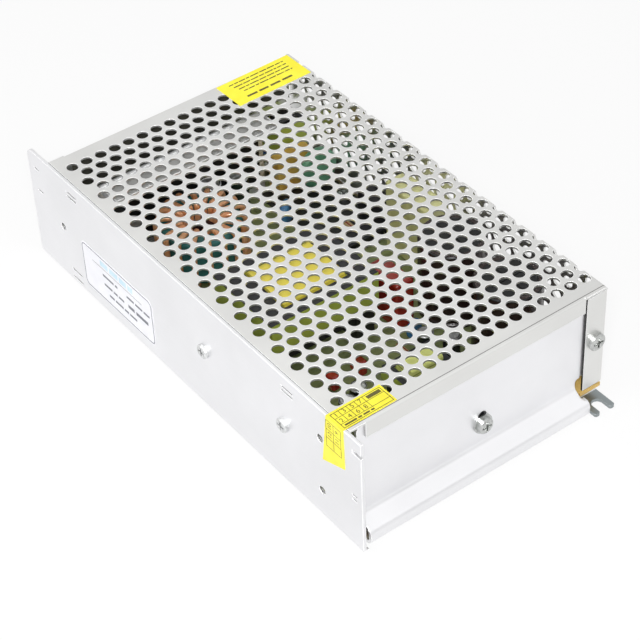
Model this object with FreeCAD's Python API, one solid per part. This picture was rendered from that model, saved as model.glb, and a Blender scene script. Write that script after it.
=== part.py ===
"""Enclosed switching power supply with a perforated cover.

A folded aluminium chassis gives the base, the solid left wall and the near end
wall.  A perforated cover gives the top and the right wall.  The circuit board
stands on spacers inside and carries the terminal block at the far end.

Millimetres.  X runs across from the solid wall to the perforated wall, Y runs
along from the near end to the terminal end, Z is up.  The origin is in the
middle of the footprint, on the surface that the base rests on.

Places inside the case are written as across (from the outer face of the solid
wall), along (from the near end) and z (from the underside of the base).
"""
import FreeCAD, Part
import math
import os

Vector = FreeCAD.Vector

# Case
width = 110.0
length = 199.0
height = 50.0
chassis_sheet = 1.2
cover_sheet = 0.8
side_head = 1.4
wall_bend = 1.9
cover_bend = 1.1
strip_bend = 0.6
slit = 0.15

# Near end wall, which is set back behind the cover's strip and flares out
# again to a lip that stands on the base
cover_setback = 7.2
lip_setback = 1.9
lip_height = 5.0
flare_top = 9.6
flare_bend_top = 3.0
flare_bend_low = 2.0
lip_bend = 1.8
end_wall_left = 4.6
end_wall_right = 100.0
end_wall_ear = 108.4
ear_underside = 14.2
notch_radius = 1.6
corner_round = 3.0
corner_slit = 2.0
near_corner_round = 3.0

# Corner tab with an open slot for a mounting screw
tab_width = 9.0
tab_slot = 4.4
tab_slot_depth = 6.2
tab_round = 0.9

# Low side flange under the perforated wall
flange_start = 19.5
flange_height = 7.3

# Perforation: staggered rows at sixty degrees
hole_pitch = 6.05
hole_diameter = 4.4
hole_rows = 32
hole_columns = 18
first_hole_across = 5.3
perforation_foot = 5.0

# Cover
cover_length = 178.5
strip_start = 6.4
strip_end = 9.9
strip_drop = 6.7
side_flange_width = 9.2
far_flange_drop = 21.0
cover_foot = 7.5
tab_length = 12.0
tab_drop = 10.0

# Circuit board
board_gap = 3.5
board_sheet = 1.6
film_sheet = 0.3
film_margin = 2.0
spacer_radius = 3.0
screw_radius = 1.45
screw_clearance = 0.1
head_radius = 2.8
head_height = 1.9
cross_width = 0.8
cross_depth = 0.9

# Side wall holes and slots, each as along and z
side_holes = [(21.4, 13.2), (21.4, 37.0), (178.4, 25.4)]
side_hole_radius = 1.6
lance_slots = [(38.7, 44.4), (169.2, 44.6)]
lance_length = 6.4
lance_gap = 0.7
ear_slots = [(193.4, 43.1), (192.6, 33.4)]
ear_slot_length = 3.6
wall_device_screws = [(41.6, 27.8), (87.2, 28.2)]
base_hole_radius = 1.65
base_holes_across = 60.0
base_holes_along = 120.0
far_corner_round = 3.0
far_corner_chamfer = 2.0
tongue_width = 7.0
tongue_reach = 3.0

# Levels that follow from the sizes above
base_top = chassis_sheet
film_top = base_top + film_sheet
board_under = film_top + board_gap
board_top = board_under + board_sheet
cover_near = cover_setback
cover_far = cover_setback + cover_length
cover_under = height - cover_sheet
end_wall_face = cover_near + cover_sheet + 0.1
end_wall_back = end_wall_face + chassis_sheet
right_inside = width - cover_sheet
origin_across = (width + side_head) / 2 - side_head
origin_along = length / 2
bend_across = width - cover_sheet / 2 - cover_bend
bend_level = height - cover_sheet / 2 - cover_bend
bend_run = math.pi / 2 * cover_bend
bend_steps = 6
row_step = hole_pitch * math.sqrt(3) / 2
first_hole = chassis_sheet + slit + first_hole_across

# Small slide switch for the supply voltage, behind the perforated wall
selector_along = 124.0
selector_length = 20.0
selector_depth = 7.1
selector_height = 11.0
selector_window = (15.0, 5.2)
slider_length = 6.4
slider_gap = 0.15
selector_mid = board_top + 5.5

# Terminal block
ways = 9
way_pitch = 9.5
barrier = 1.5
terminal_left = 4.5
block_depth = 16.5
block_body = 9.0
barrier_top = 25.0
barrier_depth = 11.0
plate_sheet = 1.0
terminal_screw_radius = 1.75
terminal_head_radius = 3.0
terminal_head_height = 2.4
flap_sheet = 1.2
flap_barrel = 1.5
flap_pin = 1.0
pin_clearance = 0.08

# Screws of the near end
flange_screw_across = width - side_flange_width / 2
flange_screw_z = 28.3
flange_head_radius = 3.4
bridge_across = 56.4
bridge_z = 19.0
bridge_slot_radius = 1.9
bridge_head_radius = 3.1
bridge_size = (22.0, 3.6, 18.4)
washer_radius = 3.8
washer_sheet = 0.7
nut_width = 5.5
nut_sheet = 2.4

# Power devices on the solid wall
pad_sheet = 0.3
package_width = 10.2
package_depth = 4.4
clamp_sheet = 1.6

# Main transformer and the small driver transformer, lying flat
main_core = {"middle": (42.6, 92.1), "outer": (46.0, 34.8), "legs": 5.5, "backs": 9.3, "centre_leg": 11.0}
main_core_z = (23.0, 36.0)
main_winding_z = (17.0, 37.5)
driver_core = {"middle": (55.8, 40.0), "outer": (21.0, 16.0), "legs": 3.4, "backs": 3.2, "centre_leg": 4.0}
driver_core_z = (17.0, 22.5)
driver_winding_z = (13.5, 26.5)

# Output choke
choke_place = (40.0, 147.5)
choke_outer = 15.4
choke_inner = 8.6
choke_wire = 2.2
choke_turns = 18
choke_z = (board_top + 0.1 + choke_wire + 0.1, board_top + 0.1 + choke_wire + 18.7)

# Heatsink angle
heatsink_across = (11.5, 83.5)
heatsink_along = (157.0, 171.5)
heatsink_top = 44.0
heatsink_sheet = 2.5

# Capacitors, each as across and along
bulk_places = [(width - 14.9, 40.2), (width - 14.9, 70.0)]
bulk_radius = 12.4
bulk_tall = 33.4
output_places = [(10.4, 163.4), (20.4, 163.4), (55.4, 164.3), (65.8, 161.5)]
output_radius = 4.5
output_tall = 20.0
small_places = [(78.2, 50.0), (72.0, 57.0), (30.0, 47.0), (37.0, 50.0), (60.5, 115.0), (14.0, 120.0)]
small_radius = 3.1
small_tall = 10.5
red_capacitors = [((71.0, 79.2), (71.5, 88.5), 28.0), ((34.0, 37.6), (60.5, 67.5), 13.6),
                  ((46.0, 49.6), (60.5, 67.5), 13.6)]
yellow_capacitor = ((width - 12.2, width - 2.4), (86.5, 112.0), 38.0)
amber_capacitor = ((85.0, 100.6), (161.4, 168.2), 24.0)
blue_discs = [(77.0, 146.0, 5.0, 3.4, 35), (73.5, 65.0, 3.8, 2.8, 20)]
green_disc = (100.2, 157.0, 8.4, 4.6, 0)
resistor_places = [(14.0, 58.0, 0), (26.0, 58.0, 90), (14.0, 64.0, 0), (90.0, 22.0, 0), (66.0, 61.0, 90),
                   (80.0, 128.0, 0), (94.0, 128.5, 90), (12.0, 112.0, 90), (60.0, 124.5, 90)]
filter_choke = {"middle": (98.6, 176.2), "outer": (13.2, 12.4), "legs": 2.4, "backs": 2.4, "centre_leg": 4.0}
filter_core_z = (16.0, 30.0)
filter_winding_z = (13.0, 31.5)
chip_place = (91.0, 119.8)
fuse_place = (80.0, 176.0)

# Trimmer and lamp beside the terminals
trimmer_place = (width - 11.0, length - 8.0)
trimmer_size = 6.5
trimmer_height = 7.0
rotor_radius = 2.1
lamp_place = (width - 4.6, length - 8.0)

# Stickers
sticker_sheet = 0.12
top_sticker_size = (33.4, 15.2)
top_sticker_place = (91.6, cover_far - 8.4)
seal_along = (8.6, 17.6)
seal_reach = 21.6
seal_foot = (33.0, 28.6)
label_along = (119.8, 166.2)
label_z = (6.8, 27.4)
label_round = 2.5

# Terminal block levels
hinge_along = length - 10.8
hinge_z = barrier_top + 0.4 + flap_barrel
screw_line = length - 6.8


def place(across, along, z):
    """Turn a place in the case into a point of the part's frame."""
    return Vector(across - origin_across, along - origin_along, z)


def block(across, along, z):
    """A box between two values of across, along and z."""
    corner = place(across[0], along[0], z[0])
    return Part.makeBox(across[1] - across[0], along[1] - along[0], z[1] - z[0], corner)


def rod(radius, span, across=None, along=None, z=None):
    """A round bar that runs over span, along the axis that is left out."""
    if across is None:
        return Part.makeCylinder(radius, span[1] - span[0], place(span[0], along, z), Vector(1, 0, 0))
    if along is None:
        return Part.makeCylinder(radius, span[1] - span[0], place(across, span[0], z), Vector(0, 1, 0))
    return Part.makeCylinder(radius, span[1] - span[0], place(across, along, span[0]), Vector(0, 0, 1))


def prism(outline, direction):
    """A straight prism from an outline of points."""
    wire = Part.makePolygon(outline + [outline[0]])
    return Part.Face(wire).extrude(direction)


def save(name, *shapes):
    """Write one sub-part, of one or more separate solids, to its file."""
    solids = [solid for shape in shapes for solid in shape.Solids]
    whole = solids[0] if len(solids) == 1 else Part.makeCompound(solids)
    whole.exportStep("parts/" + name + ".step")
    print(name, len(solids), round(whole.Volume / 1000, 2), "cm3")


def offset_corner(before, corner, after, shift):
    """The corner of a path that runs beside the given one, shift to its left."""
    first = (corner - before).normalize()
    second = (after - corner).normalize()
    left_first = Vector(-first.y, first.x, 0)
    left_second = Vector(-second.y, second.x, 0)
    middle = (left_first + left_second).normalize()
    return corner + middle * (shift / middle.dot(left_first))


def side_of_strip(points, radii, shift):
    """Edges of one side of a folded strip, from its first end to its last."""
    moved = []
    for index, point in enumerate(points):
        if index in (0, len(points) - 1):
            near = points[1] if index == 0 else points[-2]
            run = (near - point) if index == 0 else (point - near)
            run.normalize()
            moved.append(point + Vector(-run.y, run.x, 0) * shift)
        else:
            moved.append(offset_corner(points[index - 1], point, points[index + 1], shift))
    edges = []
    start = moved[0]
    for index, radius in enumerate(radii, 1):
        into = (moved[index] - moved[index - 1]).normalize()
        out = (moved[index + 1] - moved[index]).normalize()
        turn = into.cross(out).z
        bend = radius - shift if turn > 0 else radius + shift
        half = into.getAngle(out) / 2
        reach = bend * math.tan(half)
        first = moved[index] - into * reach
        last = moved[index] + out * reach
        centre_way = (out - into).normalize()
        middle = moved[index] + centre_way * (bend / math.cos(half) - bend)
        edges.append(Part.makeLine(start, first))
        edges.append(Part.Arc(first, middle, last).toShape())
        start = last
    edges.append(Part.makeLine(start, moved[-1]))
    return edges, moved[0], moved[-1]


def folded_strip(points, radii, sheet):
    """Section of a folded sheet whose middle follows points, with round bends."""
    path = [Vector(a, b, 0) for a, b in points]
    left, left_start, left_end = side_of_strip(path, radii, sheet / 2)
    right, right_start, right_end = side_of_strip(path, radii, -sheet / 2)
    caps = [Part.makeLine(left_start, right_start), Part.makeLine(left_end, right_end)]
    loop = Part.Wire(Part.__sortEdges__(left + right + caps))
    return Part.Face(loop)


def fold_across(points, radii, sheet, along):
    """Folded sheet with its section in across and z, extruded along."""
    face = folded_strip(points, radii, sheet)
    turn = FreeCAD.Placement(place(0, along[0], 0), FreeCAD.Rotation(Vector(1, 0, 0), 90))
    face.Placement = turn
    return face.extrude(Vector(0, along[1] - along[0], 0))


def fold_along(points, radii, sheet, across):
    """Folded sheet with its section in along and z, extruded across."""
    face = folded_strip(points, radii, sheet)
    axes = FreeCAD.Matrix(0, 0, 1, 0, 1, 0, 0, 0, 0, 1, 0, 0, 0, 0, 0, 1)
    turn = FreeCAD.Placement(axes)
    turn.Base = place(across[0], 0, 0)
    face.Placement = turn
    return face.extrude(Vector(across[1] - across[0], 0, 0))


def fold_upright(points, radii, sheet, z):
    """Folded sheet with its section in across and along, extruded upwards."""
    face = folded_strip(points, radii, sheet)
    face.Placement = FreeCAD.Placement(place(0, 0, z[0]), FreeCAD.Rotation())
    return face.extrude(Vector(0, 0, z[1] - z[0]))


def slot_cutter(radius, run, across, along, z):
    """Round-ended slot through a wall that faces along, upright over run."""
    middle = block((across - radius, across + radius), along, run)
    ends = [rod(radius, along, across=across, z=level) for level in run]
    return middle.fuse(ends)


def cross_recess(radius, top, across, along):
    """Two crossed grooves in the top of an upright screw head."""
    arm = radius * 0.62
    depth = (top - cross_depth, top + 1)
    first = block((across - arm, across + arm), (along - cross_width / 2, along + cross_width / 2), depth)
    second = block((across - cross_width / 2, across + cross_width / 2), (along - arm, along + arm), depth)
    return first.fuse(second)


def upright_screw(across, along, seat, head, shank, depth, head_size):
    """Pan head screw that stands upright, with its head resting at seat."""
    body = rod(head, (seat, seat + head_size), across=across, along=along)
    rim = [edge for edge in body.Edges if abs(edge.BoundBox.ZMin - seat - head_size) < 0.01 and edge.Closed]
    body = body.makeFillet(head_size * 0.45, rim)
    body = body.fuse(rod(shank, (seat - depth, seat), across=across, along=along))
    return body.cut(cross_recess(head, seat + head_size, across, along))


def tip_over(shape, across, along, z, axis, angle):
    """Turn a shape about one of its own points."""
    turned = shape.copy()
    turned.rotate(place(across, along, z), axis, angle)
    return turned


def screw_facing_near(across, face, z, head, shank, depth, head_size):
    """Screw driven into a wall from the near side, head on the face."""
    screw = upright_screw(across, face, z, head, shank, depth, head_size)
    return tip_over(screw, across, face, z, Vector(1, 0, 0), 90)


def screw_facing_left(along, z, head, shank, depth, head_size):
    """Screw driven into the solid wall from outside."""
    screw = upright_screw(0, along, z, head, shank, depth, head_size)
    return tip_over(screw, 0, along, z, Vector(0, 1, 0), -90)


def chassis():
    """Base, solid wall and near end wall, folded from one sheet."""
    half = chassis_sheet / 2
    bend = [wall_bend]
    near_part = fold_across([(half, height), (half, half), (width, half)], bend, chassis_sheet,
                            (0, flange_start))
    far_points = [(half, height), (half, half), (width - half, half), (width - half, flange_height)]
    far_part = fold_across(far_points, [wall_bend, 1.2], chassis_sheet, (flange_start, length))
    body = near_part.fuse(far_part)
    tab_left = width - tab_width
    lip_flat = lip_setback + lip_bend + half
    deep = (-1, chassis_sheet + 2)
    body = body.cut([
        block((end_wall_left - corner_slit, end_wall_left), (-1, cover_setback), deep),
        block((end_wall_left, tab_left), (-1, lip_flat), deep),
        block((end_wall_right, tab_left), (-1, cover_setback + 1), deep),
        block((width - 2.4, width + 1), (flange_start - 0.6, flange_start + 0.6), (-1, 3)),
    ])
    body = body.fuse([end_wall(lip_flat), board_tongue()]).removeSplitter()
    body = body.cut(chassis_cutters())
    return body.cut([tab_slot_cutter(), far_corner_cutter()])


def end_wall(lip_flat):
    """Near end wall with its flare, lip and the ear behind the cover's flange."""
    half = chassis_sheet / 2
    middle = end_wall_face + half
    foot = lip_setback + half
    path = [(middle, cover_under - 0.1), (middle, flare_top), (foot, lip_height), (foot, half),
            (lip_flat + 3, half)]
    radii = [flare_bend_top, flare_bend_low, lip_bend]
    wall = fold_along(path, radii, chassis_sheet, (end_wall_left, end_wall_right))
    ear = block((end_wall_right, end_wall_ear), (end_wall_face, end_wall_back), (ear_underside, cover_under - 0.1))
    wall = wall.fuse(ear).removeSplitter()
    through = (lip_setback - 1, end_wall_back + 1)
    notch_middle = end_wall_right - 0.4
    notch = slot_cutter(notch_radius, (flare_top - 1.6, ear_underside - 2 * notch_radius + 1), notch_middle,
                        through, 0)
    corner = corner_rounder(end_wall_left, cover_under - 0.1, corner_round, through)
    return wall.cut([notch, corner])


def corner_rounder(across, top, radius, along):
    """Cutter that rounds the upper left corner of a wall that faces along."""
    square = block((across - 1, across + radius), along, (top - radius, top + 1))
    return square.cut(rod(radius, along, across=across + radius, z=top - radius))


def board_tongue():
    """Tongue lanced from the solid wall, which carries the board's edge."""
    middle = lance_slots[1][0] + 3.5
    return block((chassis_sheet - 0.2, chassis_sheet + tongue_reach),
                 (middle - tongue_width / 2, middle + tongue_width / 2), (board_under - 1.0, board_under))


def chassis_cutters():
    """Holes and slots of the base and of the solid wall."""
    through = (-1, chassis_sheet + 0.8)
    cutters = [rod(side_hole_radius, through, along=a, z=b) for a, b in side_holes]
    cutters += [rod(screw_radius + screw_clearance, through, along=a, z=b) for a, b in wall_device_screws]
    for along, level in lance_slots:
        for side in (-1, 1):
            middle = level + side * 0.9
            cutters.append(block(through, (along - lance_length / 2, along + lance_length / 2),
                                 (middle - lance_gap / 2, middle + lance_gap / 2)))
    for along, level in ear_slots:
        cutters.append(block(through, (along - ear_slot_length / 2, along + ear_slot_length / 2),
                             (level - lance_gap / 2, level + lance_gap / 2)))
    cutters.append(near_corner_cutter())
    cutters.append(block(through, (-1, 4.4), (lance_slots[0][1] - 0.6, lance_slots[0][1] + 1.0)))
    cutters.append(block(through, (2.6, 5.2), (22.6, 23.4)))
    cutters.append(block(through, (2.6, 5.2), (24.4, 25.2)))
    middle = lance_slots[1][0] + 3.5
    for level in (board_under - 1.45, board_top + 0.55):
        cutters.append(block(through, (middle - tongue_width / 2, middle + tongue_width / 2),
                             (level - lance_gap / 2, level + lance_gap / 2)))
    for side in (-1, 1):
        for end in (-1, 1):
            cutters.append(rod(base_hole_radius, (-1, chassis_sheet + 1),
                               across=origin_across + side * base_holes_across / 2,
                               along=origin_along + end * base_holes_along / 2))
    along = (end_wall_face - 1, end_wall_back + 1)
    cutters.append(slot_cutter(bridge_slot_radius, (bridge_z - 1.6, bridge_z + 3.4), bridge_across, along, 0))
    cutters.append(rod(screw_radius + screw_clearance, along, across=flange_screw_across, z=flange_screw_z))
    return cutters


def near_corner_cutter():
    """Rounds the low near corner of the solid wall."""
    radius = near_corner_round
    square = block((-1, end_wall_left - corner_slit), (-1, radius), (-1, radius))
    return square.cut(rod(radius, (-2, end_wall_left), along=radius, z=radius))


def tab_slot_cutter():
    """Open slot of the corner tab, with the rounding of its prongs."""
    middle = width - tab_width / 2
    radius = tab_slot / 2
    deep = (-1, chassis_sheet + 1)
    cutter = block((middle - radius, middle + radius), (-1, tab_slot_depth - radius), deep)
    cutter = cutter.fuse(rod(radius, deep, across=middle, along=tab_slot_depth - radius))
    corners = [(width - tab_width, 1), (middle - radius, -1), (middle + radius, 1), (width, -1)]
    for across, inward in corners:
        square = block(tuple(sorted((across, across + inward * tab_round))), (-0.5, tab_round), deep)
        round_bar = rod(tab_round, deep, across=across + inward * tab_round, along=tab_round)
        cutter = cutter.fuse(square.cut(round_bar))
    return cutter


def far_corner_cutter():
    """Rounds the ear's top corner and bevels its bottom corner."""
    through = (-1, chassis_sheet + 1)
    square = block(through, (length - far_corner_round, length + 1), (height - far_corner_round, height + 1))
    square = square.cut(rod(far_corner_round, through, along=length - far_corner_round, z=height - far_corner_round))
    low = prism([place(-1, length - far_corner_chamfer, -1), place(-1, length + 1, -1),
                 place(-1, length + 1, far_corner_chamfer + 2), place(-1, length, far_corner_chamfer + 2)],
                Vector(chassis_sheet + 1, 0, 0))
    return square.fuse(low)


def cover_shell():
    """Top, perforated wall, end strips and hooks, before the holes are cut."""
    half = cover_sheet / 2
    left = chassis_sheet + slit
    level = height - half
    wall = width - half
    shell = fold_across([(left, level), (wall, level), (wall, cover_foot)], [cover_bend], cover_sheet,
                        (cover_near, cover_far))
    strip = (left + strip_start, width - strip_end)
    edge = cover_near + strip_bend + half
    far_edge = cover_far - strip_bend - half
    far_strip = (left + strip_start, right_inside - 1)
    flange_top = cover_under - 0.3
    shell = shell.cut([
        block(strip, (cover_near - 1, edge), (cover_under - 1, height + 1)),
        block(far_strip, (far_edge, cover_far + 1), (cover_under - 1, height + 1)),
        block((width - cover_sheet - strip_bend, width + 1), (cover_near - 1, edge), (0, flange_top)),
    ])
    near_fold = fold_along([(edge + 1, level), (cover_near + half, level),
                            (cover_near + half, height - strip_drop)], [strip_bend], cover_sheet, strip)
    far_fold = fold_along([(far_edge - 1, level), (cover_far - half, level),
                           (cover_far - half, height - far_flange_drop)], [strip_bend], cover_sheet, far_strip)
    side_fold = fold_upright([(wall, edge + 1), (wall, cover_near + half),
                              (width - side_flange_width, cover_near + half)], [strip_bend], cover_sheet,
                             (cover_foot, flange_top))
    hooks = []
    for along, _ in lance_slots:
        span = (along - tab_length / 2, along + tab_length / 2)
        hooks.append(fold_across([(left + half + 2, level), (left + half, level),
                                  (left + half, height - tab_drop)], [strip_bend], cover_sheet, span))
    return shell.fuse([near_fold, far_fold, side_fold] + hooks).removeSplitter()


def hole_rows_over_sheet():
    """Each row of holes as its along, its places on top, on the bend and on the side.

    The holes are laid out on the flat sheet, so the rows run on over the bend.
    """
    radius = hole_diameter / 2
    margin = (cover_length - (hole_rows - 1) * row_step) / 2
    rows = []
    for row in range(hole_rows):
        along = cover_near + margin + row * row_step
        across = first_hole + ((hole_rows - 1 - row) % 2) * hole_pitch / 2
        beside = abs(along - selector_along) < selector_window[0] / 2 + 2 + radius
        foot = selector_mid + 5 if beside else cover_foot + perforation_foot
        top, side = [], []
        while across + radius < bend_across:
            top.append(across)
            across += hole_pitch
        bent = across
        centre = bend_level - (across + hole_pitch - bend_across - bend_run)
        while centre - radius > foot:
            side.append(centre)
            centre -= hole_pitch
        rows.append((along, top, bent, side))
    return rows


def bend_hole(across):
    """Cutter for a hole that was punched flat and then bent over the corner."""
    radius = hole_diameter / 2
    above = (bend_level - 1, height + 1)
    top = rod(radius, above, across=across, along=0)
    pieces = [top.common(block((0, bend_across), (-radius, radius), above))]
    centre = bend_level - (across - bend_across - bend_run)
    if centre - radius < bend_level:
        side = rod(radius, (right_inside - 1, width + 1), along=0, z=centre)
        pieces.append(side.common(block((0, width + 2), (-radius, radius), (0, bend_level))))
    for step in range(bend_steps):
        run = bend_across + bend_run * (step + 0.5) / bend_steps
        if abs(run - across) < radius:
            half = math.sqrt(radius ** 2 - (run - across) ** 2)
            angles = [math.radians(90 - 90 * (step + end) / bend_steps) for end in (0, 1)]
            pieces.append(bend_wedge(angles, half))
    return pieces[0].fuse(pieces[1:])


def bend_wedge(angles, half):
    """Wedge of the bend between two angles, as wide as the hole is there."""
    reach = 3 * cover_bend
    outline = [place(bend_across, -half, bend_level)]
    for angle in angles:
        outline.append(place(bend_across + reach * math.cos(angle), -half, bend_level + reach * math.sin(angle)))
    return prism(outline, Vector(0, 2 * half, 0))


def perforated_sheet(rows, limits, far_side, point, normal):
    """Flat sheet with round holes, and the plain piece of sheet that it takes up.

    Each row is an along with its holes' places.  The outline steps in and out
    with the rows, because their last holes are staggered.
    """
    outline = []
    for (along, _), limit in zip(rows, limits):
        outline.append(point(limit, along - row_step / 2))
        outline.append(point(limit, along + row_step / 2))
    outline.append(point(far_side, rows[-1][0] + row_step / 2))
    outline.append(point(far_side, rows[0][0] - row_step / 2))
    wire = Part.makePolygon(outline + [outline[0]])
    radius = hole_diameter / 2
    holes = [Part.Wire(Part.makeCircle(radius, point(centre, along), -normal))
             for along, centres in rows for centre in centres]
    plain = Part.Face(wire)
    if plain.normalAt(0, 0).dot(normal) < 0:
        wire.reverse()
    return Part.Face([wire] + holes).extrude(normal * cover_sheet), plain.extrude(normal * cover_sheet)


def cover():
    """Perforated cover, folded from one thin sheet."""
    rows = hole_rows_over_sheet()
    reach = hole_diameter / 2 + 0.3
    top_sheet, top_plain = perforated_sheet(
        [(along, top) for along, top, _, _ in rows], [top[-1] + reach for _, top, _, _ in rows],
        first_hole - reach, lambda across, along: place(across, along, cover_under), Vector(0, 0, 1))
    side_sheet, side_plain = perforated_sheet(
        [(along, side) for along, _, _, side in rows], [side[0] + reach for _, _, _, side in rows],
        cover_foot + perforation_foot, lambda z, along: place(right_inside, along, z), Vector(1, 0, 0))
    window_length, window_height = selector_window
    window = block((right_inside - 1, width + 1),
                   (selector_along - window_length / 2 - 0.5, selector_along + window_length / 2 + 0.5),
                   (selector_mid - window_height / 2 - 0.3, selector_mid + window_height / 2 + 0.3))
    screw_hole = rod(screw_radius + screw_clearance, (cover_near - 1, cover_near + 2),
                     across=flange_screw_across, z=flange_screw_z)
    cutters = {across: bend_hole(across) for across in {bent for _, _, bent, _ in rows}}
    over_bend = []
    for along, _, bent, _ in rows:
        cutter = cutters[bent].copy()
        cutter.translate(Vector(0, along, 0))
        over_bend.append(cutter)
    shell = cover_shell().cut([window, screw_hole] + over_bend)
    shell = shell.cut([top_plain, side_plain])
    return shell.fuse([top_sheet, side_sheet])


def cover_screw():
    """Screw that holds the cover's side flange to the end wall."""
    return screw_facing_near(flange_screw_across, cover_near, flange_screw_z, flange_head_radius,
                             screw_radius, end_wall_back - cover_near + 2, head_height)


def hex_nut(across, along, z):
    """Six-sided nut on the screw of the rectifier, bored to clear its thread."""
    corner = nut_width / 2 / math.cos(math.pi / 6)
    outline = []
    for step in range(6):
        angle = math.pi / 3 * step
        outline.append(place(across + corner * math.cos(angle), along, z + corner * math.sin(angle)))
    nut = prism(outline, Vector(0, nut_sheet, 0))
    return nut.cut(rod(screw_radius + 0.05, (along - 1, along + nut_sheet + 1), across=across, z=z))


def bridge_rectifier():
    """Flat rectifier block that stands against the end wall on four legs."""
    wide, thick, tall = bridge_size
    near = end_wall_back
    body = block((bridge_across - wide / 2, bridge_across + wide / 2), (near, near + thick),
                 (bridge_z - tall / 2, bridge_z + tall / 2))
    body = body.makeChamfer(0.4, [edge for edge in body.Edges if edge.BoundBox.YMin > near - origin_along + 1])
    body = body.cut(rod(screw_radius + screw_clearance, (near - 1, near + thick + 1),
                        across=bridge_across, z=bridge_z))
    legs = []
    for step in range(4):
        across = bridge_across + (step - 1.5) * 5.1
        legs.append(block((across - 0.6, across + 0.6), (near + 1.4, near + 2.2),
                          (board_top, bridge_z - tall / 2 + 0.5)))
    return body.fuse(legs)


def bridge_hardware():
    """Screw, washer and nut of the rectifier, from outside to inside."""
    face = end_wall_face - washer_sheet
    back = end_wall_back + bridge_size[1]
    screw = screw_facing_near(bridge_across, face, bridge_z, bridge_head_radius, screw_radius,
                              back - face + nut_sheet + 0.8, head_height)
    washer = rod(washer_radius, (face, end_wall_face), across=bridge_across, z=bridge_z)
    washer = washer.cut(rod(screw_radius + 0.2, (face - 1, end_wall_face + 1), across=bridge_across, z=bridge_z))
    return screw, washer, hex_nut(bridge_across, back, bridge_z)


def board_places():
    """Where the board's spacers stand, as across and along."""
    return [(8.0, 20.0), (width - 6.0, 19.0), (8.6, length - 24.0), (width - 6.0, length - 53.0),
            (width / 2 + 15.0, length / 2 + 16.0)]


def circuit_board():
    """Board that carries everything inside, with a corner that passes under the cover."""
    body = block((chassis_sheet + 0.4, width - 1.8), (cover_near + 0.8, length - 1.2), (board_under, board_top))
    corner = block((end_wall_right, width - 0.6), (cover_near + 0.2, flange_start - 1.5), (board_under, board_top))
    body = body.fuse(corner).removeSplitter()
    holes = [rod(screw_radius + screw_clearance, (board_under - 1, board_top + 1), across=a, along=b)
             for a, b in board_places()]
    return body.cut(holes)


def insulating_film():
    """Clear film on the base, under the board."""
    film = block((chassis_sheet + film_margin + 0.8, width - 3.2), (cover_near + 2.8, length - film_margin),
                 (base_top, film_top))
    holes = [rod(spacer_radius + 0.4, (0, film_top + 1), across=a, along=b) for a, b in board_places()]
    for side in (-1, 1):
        for end in (-1, 1):
            holes.append(rod(base_hole_radius + 1.0, (0, film_top + 1),
                             across=origin_across + side * base_holes_across / 2,
                             along=origin_along + end * base_holes_along / 2))
    return film.cut(holes)


def spacers():
    """Round spacers pressed into the base."""
    posts = []
    for across, along in board_places():
        post = rod(spacer_radius, (base_top, board_under), across=across, along=along)
        posts.append(post.cut(rod(screw_radius + 0.05, (base_top - 1, board_under + 1), across=across, along=along)))
    return posts


def board_screws():
    """Screws that hold the board on its spacers."""
    return [upright_screw(across, along, board_top, head_radius, screw_radius, board_sheet + 2.5, head_height)
            for across, along in board_places()]


def ferrite_core(middle, outer, legs, backs, centre_leg, z):
    """Two E-shaped ferrite halves that meet in the middle, lying flat."""
    across, along = middle
    wide, deep = outer
    ring = block((across - wide / 2, across + wide / 2), (along - deep / 2, along + deep / 2), z)
    inside = (across - wide / 2 + backs, across + wide / 2 - backs)
    for side in (-1, 1):
        near = along + side * centre_leg / 2
        far = along + side * (deep / 2 - legs)
        ring = ring.cut(block(inside, tuple(sorted((near, far))), z))
    left = ring.common(block((across - wide, across), (along - deep, along + deep), z))
    right = ring.common(block((across, across + wide), (along - deep, along + deep), z))
    return [left, right]


def winding(middle, outer, legs, backs, centre_leg, core_z, z, round_edge):
    """Taped winding round the core's centre leg, with soft corners."""
    across, along = middle
    half = outer[0] / 2 - backs - 0.5
    deep = outer[1] / 2 - legs - 0.4
    body = block((across - half, across + half), (along - deep, along + deep), z)
    edges = [edge for edge in body.Edges if edge.BoundBox.XLength > half]
    body = body.makeFillet(round_edge, edges)
    passage = block((across - half - 1, across + half + 1),
                    (along - centre_leg / 2 - 0.1, along + centre_leg / 2 + 0.1),
                    (core_z[0] - 0.1, core_z[1] + 0.1))
    return body.cut(passage)


def bobbin(middle, outer, backs, core_z, winding_foot):
    """Moulded foot with two rails that carry the core above the board."""
    across, along = middle
    rail = backs - 1.5
    deep = outer[1] / 2 - 2
    shape = None
    for side in (-1, 1):
        outside = across + side * (outer[0] / 2 - 0.8)
        inside = outside - side * rail
        post = block(tuple(sorted((outside, inside))), (along - deep, along + deep), (board_top, core_z[0]))
        shape = post if shape is None else shape.fuse(post)
    reach = outer[0] / 2 - backs + 1.5
    plate = block((across - reach, across + reach), (along - deep + 1, along + deep - 1),
                  (winding_foot - 2.0, winding_foot))
    return shape.fuse(plate).removeSplitter()


def toroid_core():
    """Coated ring core of the output choke, lying flat."""
    across, along = choke_place
    body = rod(choke_outer, choke_z, across=across, along=along)
    body = body.cut(rod(choke_inner, (choke_z[0] - 1, choke_z[1] + 1), across=across, along=along))
    return body.makeFillet(1.6, [edge for edge in body.Edges if edge.Closed])


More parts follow.
